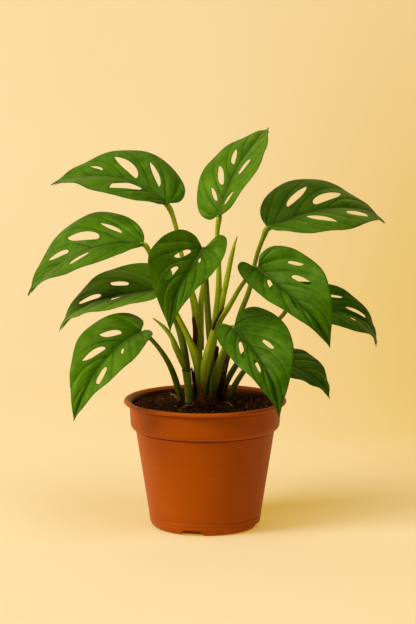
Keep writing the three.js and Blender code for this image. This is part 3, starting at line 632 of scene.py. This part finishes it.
def make_stalk(name, material):
    line, radius = stalk_line(name)
    length = length_along(line)
    end = lifted([BLADES[name]["foot"]])[0]
    to_foot = length[np.argmin(np.linalg.norm(line - end, axis=1))]
    # It swells just before the blade, and thins out under it.
    radius = radius * (1 + 0.25 * np.exp(-((length - to_foot + 3) / 4.0) ** 2))
    after = np.clip((length - to_foot) / max(length[-1] - to_foot, 1e-6), 0, 1)
    radius = radius * (1 - 0.8 * smoothstep(after, 0, 0.7))
    reach = SHEATH.get(name, 0.0)

    def section(angle, part):
        groove = 0.10 * np.exp(-(angle / 0.45) ** 2)
        if not reach:
            return 1 - groove
        lips = np.exp(-((np.abs(angle) - 0.62) / 0.26) ** 2)
        lips = lips * (1 - smoothstep(part, 0.6 * reach, reach))
        return 1 - 1.2 * groove + 0.08 * lips

    side = 1 if BLADES[name]["foot"][0] > 0 else -1
    shell = rod(line, radius, 20, section, up=(0.35 * side, -0.9, 0.3))
    finish_rod("petiole_" + name, shell, material, "leaf_stalk", "stalk_" + name, tone=STALK_TONE[name])


# Where leaves once stood on each stem, and how brown its bark is.
SCARS = {"stem_left": (0.93,), "stem_middle": (0.4, 0.7), "stem_rear": (0.3, 0.55, 0.8),
         "stem_right": (0.35, 0.62, 0.9)}
BARK = {"stem_left": 0.0, "stem_middle": 1.0, "stem_rear": 0.9, "stem_right": 1.0}


def make_stem(name, material):
    radii, route = STEMS[name]
    line, radius = rod_line(radii, route, 0.5, BURIED)
    share = np.linspace(0, 1, len(line))
    for scar in SCARS[name]:
        radius = radius * (1 + 0.09 * np.exp(-((share - scar) / 0.03) ** 2))
        radius = radius * (1 - 0.04 * np.exp(-((share - scar - 0.05) / 0.025) ** 2))
    radius[-3:] *= (0.95, 0.8, 0.45)
    points, faces, uv, shares = rod(line, radius, 28)
    wobble = noise_field(points, 2.2, 3)
    centre = line[np.clip(np.round(shares * (len(line) - 1)).astype(int), 0, len(line) - 1)]
    points = points + (points - centre) * (0.06 * wobble)[:, None]
    ring = 0.75 * sum(np.exp(-((shares - scar) / 0.05) ** 2) for scar in SCARS[name])
    brown = np.clip(BARK[name] + ring, 0, 1)
    finish_rod("shoot_" + name, (points, faces, uv, shares), material, "stem", name, brown=brown)


def make_young(name, material):
    radii, route = YOUNG[name]
    if name == "new_leaf_small":
        # Its foot is carried on into the left stem.
        radii, route = (1.4, 1.9) + radii[1:], [(-14.5, -2.5, 23), (-16, -5, 26.5)] + route[1:]
    line, radius = rod_line(radii, route, 0.8, 0)

    def section(angle, part):
        turn = (angle + math.pi) / (2 * math.pi) + 1.5 * part
        return 0.9 + 0.2 * (turn % 1.0)

    shell = rod(line, radius, 24, section)
    finish_rod("rolled_" + name, shell, material, "young_leaf", name, tone=STALK_TONE[name])


def scale_strip(parts, line, radius, spread, up, seed, tone):
    """A dry scale: a strip bent round a line, with a ragged end."""
    face, side = frames_along(line, up)
    rows, cols = len(line), 11
    share = np.linspace(0, 1, rows)
    points = []
    for i in range(rows):
        half = spread * (1 - 0.75 * share[i] ** 2)
        for j in range(cols):
            a = half * (2 * j / (cols - 1) - 1)
            r = radius * (1 + 0.12 * noise.noise(Vector((a * 2, share[i] * 6, seed))))
            r *= 1 + 0.25 * share[i] ** 2
            points.append(line[i] + r * (math.cos(a) * face[i] + math.sin(a) * side[i]))
    points = np.array(points)
    ragged = noise_field(points, 0.8, seed) * 1.2 * np.repeat(smoothstep(share, 0.6, 1), cols)
    points[:, 2] += ragged
    faces = [(i * cols + j, i * cols + j + 1, (i + 1) * cols + j + 1, (i + 1) * cols + j)
             for i in range(rows - 1) for j in range(cols - 1)]
    values = np.zeros((len(points), 1))
    shell, _, shell_faces, _, _ = thicken(points, values, faces, 0.25, np.zeros(len(points)))
    parts.add(shell, shell_faces, tone=tone)


def hair(parts, start, direction, length, radius, curl, tone):
    """A thin bent fibre."""
    steps = 9
    heading = np.asarray(direction, float)
    heading /= np.linalg.norm(heading)
    turn = np.cross(heading, RNG.normal(size=3))
    turn /= max(np.linalg.norm(turn), 1e-6)
    spot = np.asarray(start, float)
    line = [spot]
    for _ in range(steps):
        heading = heading + turn * curl / steps + RNG.normal(size=3) * 0.06
        heading /= np.linalg.norm(heading)
        spot = spot + heading * length / steps
        line.append(spot)
    line = np.array(line)
    thin = radius * (1 - 0.6 * np.linspace(0, 1, len(line)))
    points, faces, _, _ = rod(line, thin, 5)
    parts.add(points, faces, tone=tone)


def make_husk(name, material):
    radii, route = HUSKS[name]
    line, _ = rod_line(radii, route, 0.9, 0)
    parts = Parts()
    # Each scale: its length and radius as shares of the husk's, half its wrap in radians, and a seed.
    if name == "crown_husk":
        layers = [(1.0, 0.8, 1.3, 0), (0.75, 0.6, 1.2, 1), (0.5, 0.95, 1.1, 2)]
    else:
        layers = [(1.0, 1.0, 1.5, 3), (0.7, 0.8, 1.3, 4)]
    tone = {"crown_husk": 0.75, "sheath_left": 0.35}.get(name, 0.1)
    for keep, size, spread, seed in layers:
        cut = line[:max(5, int(len(line) * keep))]
        shade = tone + 0.1 * (seed % 3)
        scale_strip(parts, cut, max(radii) * size, spread, (-0.4, -1, 0.2), seed, shade)
    finish_piece(parts.build("dry_" + name), material, "dried_sheath", name)


def soil_height(x, y):
    mound = 0.5 * (1 + np.cos(math.pi * np.clip(np.hypot(x, y) / MOUND_RADIUS, 0, 1)))
    return POT_RIM - SOIL_BELOW_RIM + MOUND_HEIGHT * mound


def make_root(name, material):
    radii, route = ROOTS[name]
    points = lifted(route)
    points[:, 2] = soil_height(points[:, 0], points[:, 1]) + np.array([-1, 1.2, -0.8])
    line = curve_through(points, 0.9)
    share = np.linspace(0, 1, len(line))
    radius = np.interp(share, (0, 0.5, 1), radii)
    line = line + np.stack([noise_field(line, 4, 11 + k) for k in range(3)], axis=1) * 0.7
    parts = Parts()
    mesh, faces, _, _ = rod(line, radius * 0.8, 10)
    parts.add(mesh, faces, tone=0.6)
    for k in range(3, len(line) - 2, 4):
        hair(parts, line[k], (RNG.normal(), RNG.normal(), 0.1), 4 + 3 * RNG.random(), 0.22, 0.8, 0.8)
    finish_piece(parts.build("surface_" + name), material, "surface_root", name)


# ---------------------------------------------------------------- soil
def soil_relief(points):
    coarse = noise_field(points, 7, 21)
    middle = noise_field(points, 2.6, 22)
    fine = noise_field(points, 1.1, 23)
    return 0.9 * coarse + 0.8 * np.abs(middle) + 0.4 * fine


def make_soil(material):
    low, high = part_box("soil")
    edge = 0.5 * (high.x - low.x) / MM - 0.6
    rings, sides = 74, 300
    angle = np.linspace(0, 2 * math.pi, sides, endpoint=False)
    flat = np.vstack([circle(r, 0, angle) for r in np.linspace(0, edge, rings + 1)[1:]])
    x, y = flat[:, 0], flat[:, 1]
    z = soil_height(x, y) + soil_relief(flat) - 0.6
    top = np.stack([x, y, z], axis=1)
    # Down the wall and across the floor, where none of it is seen.
    base_radius = pot_high.x / MM * 0.6
    floor = low.z / MM
    wall = [(edge - 2.5, 70), (edge - 6, 60), (base_radius + 2.5, floor + 1), (base_radius, floor)]
    rows = [top] + [circle(r, height, angle) for r, height in wall]
    points = np.vstack(rows + [[[0, 0, soil_height(0, 0)]], [[0, 0, floor]]])
    parts = Parts()
    parts.add(points, tube_faces(len(rows) - 1 + rings, sides), tone=0.2)
    finish_piece(parts.build("soil_body"), material, "potting_soil", "soil")


def crumb(size, seed):
    """An irregular lump: a subdivided icosahedron pushed in and out."""
    lump = bmesh.new()
    bmesh.ops.create_icosphere(lump, subdivisions=1, radius=1)
    points = np.array([v.co for v in lump.verts])
    faces = [tuple(v.index for v in f.verts) for f in lump.faces]
    lump.free()
    points *= (1 + 0.3 * noise_field(points * 10, 8, seed))[:, None]
    return points * size, faces


def scattered(count, reach):
    """Places spread over the soil."""
    r = reach * np.sqrt(RNG.random(count))
    a = 2 * math.pi * RNG.random(count)
    return np.stack([r * np.cos(a), r * np.sin(a)], axis=1)


def turned(points, angles):
    """Points turned about x, then y, then z."""
    x, y, z = angles
    spin_x = np.array([[1, 0, 0], [0, math.cos(x), -math.sin(x)], [0, math.sin(x), math.cos(x)]])
    spin_z = np.array([[math.cos(z), -math.sin(z), 0], [math.sin(z), math.cos(z), 0], [0, 0, 1]])
    spin_y = np.array([[math.cos(y), 0, math.sin(y)], [0, 1, 0], [-math.sin(y), 0, math.cos(y)]])
    return points @ (spin_z @ spin_y @ spin_x).T


def surface_height(x, y):
    return soil_height(x, y) + soil_relief(np.array([[x, y, 0]]))[0]


def make_crumbs(material):
    parts = Parts()
    for index, (x, y) in enumerate(scattered(1100, 51.5)):
        small = RNG.random() ** 2
        size = 0.5 + 1.1 * small
        stretch = np.array([1, 0.6 + 0.4 * RNG.random(), 0.45 + 0.3 * RNG.random()])
        points, faces = crumb(size * stretch, index)
        points = turned(points, RNG.normal(size=3) * (0.6, 0.6, 3))
        z = surface_height(x, y) - 0.5
        parts.add(points + (x, y, z), faces, tone=RNG.random())
    finish_piece(parts.build("soil_crumbs"), material, "potting_soil")


def make_fibres(material):
    parts = Parts()
    for x, y in scattered(620, 51):
        z = surface_height(x, y) - 0.2
        heading = (RNG.normal(), RNG.normal(), 0.25 * RNG.random())
        hair(parts, (x, y, z), heading, 2.5 + 6 * RNG.random() ** 2, 0.13 + 0.1 * RNG.random(),
             1.5 * RNG.random(), RNG.random())
    finish_piece(parts.build("soil_fibres"), material, "potting_soil")


def make_crown_fibres(material):
    """Orange-brown fibres and root stubs at the foot of the front stalks."""
    parts = Parts()
    for _ in range(120):
        a = RNG.normal() * 0.8 - math.pi / 2
        r = 2.0 + 3.5 * RNG.random()
        x, y = 0.5 + 1.3 * r * math.cos(a), -8.5 + r * math.sin(a)
        z = soil_height(x, y) + 0.3 + 7 * RNG.random() ** 2
        heading = (0.5 * RNG.normal(), -0.3 + 0.4 * RNG.normal(), -1 + 0.9 * RNG.random())
        hair(parts, (x, y, z), heading, 3 + 4 * RNG.random(), 0.18 + 0.14 * RNG.random(), 1.2,
             0.5 + 0.5 * RNG.random())
    finish_piece(parts.build("crown_fibres"), material, "dried_sheath")


# ---------------------------------------------------------------- pot
def pot_profile():
    """The pot's outline as [radius, height], from the middle of its foot round to its floor."""
    middle = POT_RIM - LIP_RADIUS
    lip_foot = middle - LIP_RADIUS
    collar_top = RIM_RADIUS - COLLAR_INSET
    collar_bottom = collar_top - COLLAR_TAPER
    edge = middle - COLLAR_DROP
    shoulder = edge - SHOULDER_HEIGHT
    body_top = collar_bottom - SHOULDER_STEP

    def body(z):
        return BASE_RADIUS + (body_top - BASE_RADIUS) * (z - BASE_EDGE) / (shoulder - BASE_EDGE)

    # The rounded foot, a faint raised band over it, and the body.
    foot = [(8, 0), (3.9, 0), (3.3, 0.15), (2.5, 0.7), (1.5, 1.6), (0.7, 3), (0.25, 4.6), (0.08, 6)]
    band = [(-0.1, 7.2), (0.22, 7.6), (0.28, 8.2), (0.2, 8.5), (-0.15, 8.7), (-0.18, 9), (0, 9.4), (0, 13)]
    profile = [(0, 0)] + [(BASE_RADIUS - inset, z) for inset, z in foot]
    profile += [(body(z) + swell, z) for swell, z in band]
    profile += [(body(z), z) for z in np.linspace(18, shoulder - 2, 8)]
    # A fine groove makes the crease under the shoulder crisp.
    crease = [(0, 0.75), (0, 0.65), (-0.35, 0.5), (-0.45, 0.25), (-0.3, 0.02), (0.1, 0)]
    profile += [(body_top + out, shoulder - drop) for out, drop in crease]
    for k in range(1, 9):
        a = math.pi / 2 * k / 8
        profile.append((body_top + SHOULDER_STEP * math.sin(a),
                        shoulder + SHOULDER_HEIGHT * (1 - math.cos(a))))
    profile += [(collar_bottom + 0.1, edge + 0.5)]
    profile += [(collar_bottom + COLLAR_TAPER * z / COLLAR_DROP, edge + z) for z in (4, 8, 12)]
    # Another groove under the lip.
    crease = [(0, 0.95), (-0.08, 0.8), (-0.55, 0.6), (-0.55, 0.15), (0.8, 0.02)]
    profile += [(collar_top + out, lip_foot - drop) for out, drop in crease]
    for degrees in range(-110, 136, 15):
        a = math.radians(degrees)
        profile.append((RIM_RADIUS - LIP_RADIUS + LIP_RADIUS * math.cos(a),
                        middle + LIP_RADIUS * math.sin(a)))
    inside = [(collar_top, middle - 0.4), (collar_top, middle - 3), (collar_bottom, edge + 0.5),
              (collar_bottom - 0.6, edge - 1.2), (body_top + 0.5, shoulder + 0.4),
              (body_top, shoulder - 1.2), (BASE_RADIUS, BASE_EDGE + FLOOR), (BASE_RADIUS - 3.9, FLOOR)]
    return profile + [(r - WALL, z) for r, z in inside] + [(0, FLOOR)]


def make_pot(material):
    angle = np.linspace(0, 2 * math.pi, 256, endpoint=False)
    profile = pot_profile()
    rings = [circle(r, z, angle) for r, z in profile[1:-1]]
    points = np.vstack(rings + [[[0, 0, 0]], [[0, 0, FLOOR]]])
    thing = mesh_object("pot_shell", points, tube_faces(len(rings), len(angle), flip=True))
    cutter = notch_cutter()
    cut = thing.modifiers.new("notches", "BOOLEAN")
    cut.object = cutter
    cut.solver = "EXACT"
    bpy.context.view_layer.update()
    graph = bpy.context.evaluated_depsgraph_get()
    mesh = bpy.data.meshes.new_from_object(thing.evaluated_get(graph))
    thing.modifiers.clear()
    thing.data = mesh
    bpy.data.objects.remove(cutter)
    finish_piece(thing, material, "pot_plastic", "pot")


def notch_cutter(count=4, start=-104.0, reach=9):
    """Trapezoid blocks for the drain notches."""
    parts = Parts()
    outline = ((9.9, -3.0), (8.5, 0.0), (6.7, 3.9), (-6.7, 3.9), (-8.5, 0.0), (-9.9, -3.0))
    for i in range(count):
        a = math.radians(start + 360.0 * i / count)
        out = np.array([math.cos(a), math.sin(a), 0])
        across = np.array([-math.sin(a), math.cos(a), 0])
        corners = [out * r + across * half + (0, 0, z)
                   for r in (BASE_RADIUS - reach, BASE_RADIUS + reach) for half, z in outline]
        faces = [(5, 4, 3, 2, 1, 0), (6, 7, 8, 9, 10, 11)]
        faces += [(k, (k + 1) % 6, (k + 1) % 6 + 6, k + 6) for k in range(6)]
        parts.add(corners, faces)
    return parts.build("notch_cutter", smooth=False)


# ---------------------------------------------------------------- materials
class Graph:
    """A short way to write a node material."""

    def __init__(self, name):
        self.material = bpy.data.materials.new(name)
        self.material.use_nodes = True
        self.tree = self.material.node_tree
        self.tree.nodes.clear()

    def node(self, kind, **settings):
        made = self.tree.nodes.new("ShaderNode" + kind)
        for key, value in settings.items():
            setattr(made, key, value)
        return made

    def wire(self, source, socket):
        if isinstance(source, bpy.types.NodeSocket):
            self.tree.links.new(source, socket)
        else:
            socket.default_value = source

    def attribute(self, name):
        return self.node("Attribute", attribute_name=name).outputs["Fac"]

    def place(self, scale=(1, 1, 1), kind="Object"):
        mapping = self.node("Mapping")
        self.wire(self.node("TexCoord").outputs[kind], mapping.inputs["Vector"])
        mapping.inputs["Scale"].default_value = scale
        return mapping.outputs["Vector"]

    def noise(self, vector, scale, detail=3.0, rough=0.55):
        made = self.node("TexNoise")
        self.wire(vector, made.inputs["Vector"])
        made.inputs["Scale"].default_value = scale
        made.inputs["Detail"].default_value = detail
        made.inputs["Roughness"].default_value = rough
        return made.outputs["Fac"]

    def xyz(self):
        split = self.node("SeparateXYZ")
        self.wire(self.place(), split.inputs[0])
        return split.outputs

    def math(self, operation, a, b=0.0, clamp=False):
        made = self.node("Math", operation=operation, use_clamp=clamp)
        self.wire(a, made.inputs[0])
        self.wire(b, made.inputs[1])
        return made.outputs[0]

    def total(self, *terms):
        """The sum of values, each times its weight."""
        out = None
        for value, weight in terms:
            part = value if weight == 1 else self.math("MULTIPLY", value, weight)
            out = part if out is None else self.math("ADD", out, part)
        return out

    def span(self, value, low, high, to_low=0.0, to_high=1.0):
        made = self.node("MapRange")
        for v, socket in zip((value, low, high, to_low, to_high), made.inputs):
            self.wire(v, socket)
        return made.outputs[0]

    def mix(self, factor, a, b):
        made = self.node("Mix", data_type="RGBA")
        for value, index in ((factor, 0), (a, 6), (b, 7)):
            self.wire(value, made.inputs[index])
        return made.outputs[2]

    def toward(self, color, *layers):
        """The colour with others laid over it, each by a mask times a weight."""
        for mask, weight, other in layers:
            color = self.mix(self.math("MULTIPLY", mask, weight), color, other)
        return color

    def ramp(self, factor, *stops):
        """A colour ramp; each stop is a position and an sRGB colour from 0 to 255."""
        made = self.node("ValToRGB")
        elements = made.color_ramp.elements
        while len(elements) < len(stops):
            elements.new(0.5)
        for element, (position, *color) in zip(elements, stops):
            element.position = position
            element.color = linear(*color)
        self.wire(factor, made.inputs[0])
        return made.outputs[0]

    def bump(self, height, strength, distance):
        made = self.node("Bump")
        made.inputs["Strength"].default_value = strength
        made.inputs["Distance"].default_value = distance
        self.wire(height, made.inputs["Height"])
        return made.outputs["Normal"]

    def surface(self, color, roughness, normal=None, **values):
        shader = self.node("BsdfPrincipled")
        self.wire(color, shader.inputs["Base Color"])
        self.wire(roughness, shader.inputs["Roughness"])
        if normal is not None:
            self.wire(normal, shader.inputs["Normal"])
        for key, value in values.items():
            self.wire(value, shader.inputs[key.replace("_", " ")])
        output = self.node("OutputMaterial")
        self.wire(shader.outputs[0], output.inputs["Surface"])
        return self.material


def linear(red, green, blue):
    """An sRGB colour from 0 to 255, as the linear colour that Blender uses."""
    def one(v):
        v = v / 255
        return v / 12.92 if v <= 0.04045 else ((v + 0.055) / 1.055) ** 2.4
    return (one(red), one(green), one(blue), 1.0)


def blade_material():
    g = Graph("blade")
    near, rib, reach, under, edge, tone = [
        g.attribute(name) for name in ("near", "rib", "reach", "under", "edge", "tone")]
    place = g.place()
    fine = g.noise(place, 420, 3)
    middle = g.noise(place, 130, 3)
    level = g.total((tone, 0.45), (g.noise(place, 45, 2), 0.4), (fine, 0.2),
                    (g.math("SUBTRACT", middle, 0.4), 0.7))
    color = g.ramp(level, (0.15, 34, 66, 0), (0.5, 56, 96, 0), (0.95, 88, 128, 6))
    # Darker at the side veins, towards the midrib, on it and at the edge; paler underneath.
    dark = linear(26, 54, 0)
    color = g.toward(color, (near, 0.7, dark), (g.span(reach, 0.0, 0.35, 1.0, 0.0), 0.3, dark),
                     (rib, 0.6, dark), (edge, 0.5, dark), (under, 0.4, linear(92, 122, 36)))
    height = g.total((g.noise(place, 2600, 2), 0.4), (fine, 1), (middle, 2.0), (near, -1.5))
    rough = g.span(fine, 0.3, 0.7, 0.42, 0.52)
    return g.surface(color, rough, g.bump(height, 0.45, 0.0003), Specular_IOR_Level=0.2,
                     Specular_Tint=(0.75, 1.0, 0.2, 1))


def stalk_material(name, dark, light, foot):
    g = Graph(name)
    share, tone = g.attribute("share"), g.attribute("tone")
    streaks = g.noise(g.place((2.5, 0.06, 1), "UV"), 3.0, 4)
    blotch = g.noise(g.place(), 160, 3)
    level = g.total((tone, 0.7), (streaks, 0.6), (blotch, 0.3))
    color = g.ramp(level, (0.3, *dark), (1.15, *light))
    low = g.math("MULTIPLY", g.span(share, 0.02, 0.17, 1.0, 0.0), g.span(blotch, 0.35, 0.55))
    color = g.mix(low, color, linear(*foot))
    height = g.total((streaks, 1), (g.noise(g.place(), 1200, 2), 0.4))
    return g.surface(color, g.span(blotch, 0.3, 0.7, 0.38, 0.52), g.bump(height, 0.4, 0.0003),
                     Specular_IOR_Level=0.35, Specular_Tint=(1.0, 1.0, 0.3, 1))


def stem_material():
    g = Graph("stem")
    brown = g.attribute("brown")
    grain = g.noise(g.place((2.0, 0.12, 1), "UV"), 4.0, 5)
    patch = g.noise(g.place(), 220, 4)
    green = g.ramp(grain, (0.3, 82, 108, 2), (0.7, 134, 156, 24))
    bark = g.ramp(grain, (0.3, 26, 13, 4), (0.55, 52, 28, 10), (0.75, 84, 50, 20))
    mask = g.math("ADD", brown, g.math("MULTIPLY", g.math("SUBTRACT", patch, 0.5), 1.2), clamp=True)
    color = g.mix(mask, green, bark)
    height = g.total((grain, 1), (patch, 0.7))
    return g.surface(color, g.span(patch, 0.3, 0.7, 0.55, 0.8), g.bump(height, 0.6, 0.0006),
                     Specular_IOR_Level=0.2)


def dry_material(name, bump, *stops):
    g = Graph(name)
    grain = g.noise(g.place(), 500, 4)
    color = g.ramp(g.total((g.attribute("tone"), 0.7), (grain, 0.45)), *stops)
    return g.surface(color, g.span(grain, 0.3, 0.7, 0.75, 0.95), g.bump(grain, bump, 0.0005),
                     Specular_IOR_Level=0.06, Specular_Tint=(1.0, 0.7, 0.4, 1))


def pot_material():
    g = Graph("pot_plastic")
    place = g.place()
    broad = g.noise(place, 18, 3)
    fine = g.noise(place, 900, 3)
    rings = g.noise(g.place((0.15, 0.15, 30)), 30, 3)
    color = g.ramp(g.total((broad, 0.6), (rings, 0.3)), (0.3, 162, 71, 2), (0.7, 174, 79, 4))
    dust = g.span(g.noise(place, 70, 5, 0.7), 0.56, 0.8, 0.0, 0.16)
    color = g.mix(dust, color, linear(190, 116, 60))
    # Painted shade: the inside wall near the top is coloured dark brown, standing in for the shade that
    # falls inside the pot.
    x, y, z = g.xyz()
    radius = g.math("SQRT", g.math("ADD", g.math("MULTIPLY", x, x), g.math("MULTIPLY", y, y)))
    inside = g.math("MULTIPLY", g.span(radius, 0.0545, 0.0549, 0.85, 0.0), g.span(z, 0.079, 0.081))
    color = g.mix(inside, color, linear(44, 16, 4))
    height = g.total((fine, 0.5), (rings, 0.6))
    rough = g.span(broad, 0.3, 0.7, 0.42, 0.55)
    return g.surface(color, rough, g.bump(height, 0.12, 0.0003), Specular_IOR_Level=0.25,
                     Specular_Tint=(1.0, 0.5, 0.12, 1))


# ---------------------------------------------------------------- studio
LIGHT_COLOR = (1.0, 0.95, 0.8)
LIGHT_TARGET = Vector((0, 0, 0.12))
CAMERA_SPOT = (0.0021, -1.9, 0.4554)
CAMERA_TILT = math.radians(8.849)        # how far it looks down
CAMERA_LENS = 150.98                     # in mm, for a picture 36 mm high


def make_stage():
    """A paper sweep: a floor that bends up into a wall."""
    floor_front, bend_start, bend_radius, wall_top, half_width = -3.0, 0.55, 0.6, 3.0, 3.2
    profile = [(floor_front, 0.0), (bend_start, 0.0)]
    for k in range(1, 17):
        a = math.pi / 2 * k / 16
        profile.append((bend_start + bend_radius * math.sin(a), bend_radius * (1 - math.cos(a))))
    profile.append((bend_start + bend_radius, wall_top))
    points = [(x / MM, y / MM, z / MM) for y, z in profile for x in (-half_width, half_width)]
    faces = [(2 * i, 2 * i + 1, 2 * i + 3, 2 * i + 2) for i in range(len(profile) - 1)]
    floor = mesh_object("backdrop", points, faces)
    g = Graph("paper")
    grain = g.span(g.noise(g.place(), 6, 2), 0.3, 0.7)
    color = g.mix(grain, (0.435, 0.435, 0.425, 1), (0.445, 0.445, 0.435, 1))
    # Painted shadow: the paper is coloured darker and warmer behind the plant to the right, standing in
    # for shade that falls there.
    x, y, z = g.xyz()
    painted_shadow = g.math("MULTIPLY", g.span(x, 0.0, 0.22), g.span(y, 0.1, 0.35))
    painted_shadow = g.math("MULTIPLY", painted_shadow, g.span(z, 0.05, 0.35, 1.0, 0.3))
    color = g.mix(painted_shadow, color, (0.36, 0.33, 0.21, 1))
    painted_glow = g.mix(painted_shadow, (0.47, 0.265, 0.015, 1), (0.45, 0.24, 0.01, 1))
    # Painted light: the paper glows orange though it is no lamp, lightening and warming it and its
    # shadows; the glow is a little weaker in the painted shadow.
    floor.data.materials.append(g.surface(color, 0.9, Specular_IOR_Level=0.1, Emission_Strength=1.0,
                                          Emission_Color=painted_glow))


def area_light(name, spot, size, power):
    data = bpy.data.lights.new(name, "AREA")
    data.shape = "DISK"
    data.size = size
    data.energy = power
    data.color = LIGHT_COLOR
    lamp = bpy.data.objects.new(name, data)
    lamp.location = spot
    lamp.rotation_euler = (LIGHT_TARGET - Vector(spot)).to_track_quat("-Z", "Y").to_euler()
    bpy.context.scene.collection.objects.link(lamp)


def make_studio():
    scene = bpy.context.scene
    scene.view_settings.view_transform = "Standard"
    world = bpy.data.worlds.new("studio")
    world.use_nodes = True
    background = world.node_tree.nodes["Background"]
    background.inputs["Color"].default_value = (1.0, 0.8, 0.6, 1)
    background.inputs["Strength"].default_value = 0.01
    scene.world = world
    area_light("key", (-2.6, -1.3, 2.05), 1.7, 118)
    area_light("overhead", (0.2, -0.9, 2.6), 1.8, 34)
    data = bpy.data.cameras.new("camera")
    data.sensor_width = 36.0
    data.lens = CAMERA_LENS
    data.clip_end = 50
    camera = bpy.data.objects.new("camera", data)
    camera.location = CAMERA_SPOT
    camera.rotation_euler = (math.pi / 2 - CAMERA_TILT, 0, 0)
    scene.collection.objects.link(camera)
    scene.camera = camera


# ---------------------------------------------------------------- build
blade_surface = blade_material()
stalk_surface = stalk_material("stalk", (34, 60, 0), (142, 160, 10), (64, 34, 8))
young_surface = stalk_material("young", (60, 90, 0), (146, 166, 14), (84, 84, 10))
husk_surface = dry_material("husk", 0.5, (0.25, 34, 16, 5), (0.6, 84, 42, 14), (1.0, 160, 96, 44))
root_surface = dry_material("root", 0.5, (0.2, 84, 52, 28), (1.0, 176, 132, 84))
soil_surface = dry_material("soil", 0.9, (0.3, 18, 6, 1), (0.55, 52, 23, 6), (0.8, 98, 52, 18),
                            (1.0, 150, 92, 40))

for seed, (name, data) in enumerate(BLADES.items()):
    make_blade(name, data, seed + 1, blade_surface)
for make, table, surface in (
        (make_stalk, STALKS, stalk_surface), (make_stem, STEMS, stem_material()),
        (make_young, YOUNG, young_surface), (make_husk, HUSKS, husk_surface),
        (make_root, ROOTS, root_surface)):
    for name in table:
        make(name, surface)
for make in (make_soil, make_crumbs, make_fibres):
    make(soil_surface)
make_crown_fibres(husk_surface)
make_pot(pot_material())
make_stage()
make_studio()

bpy.context.view_layer.update()
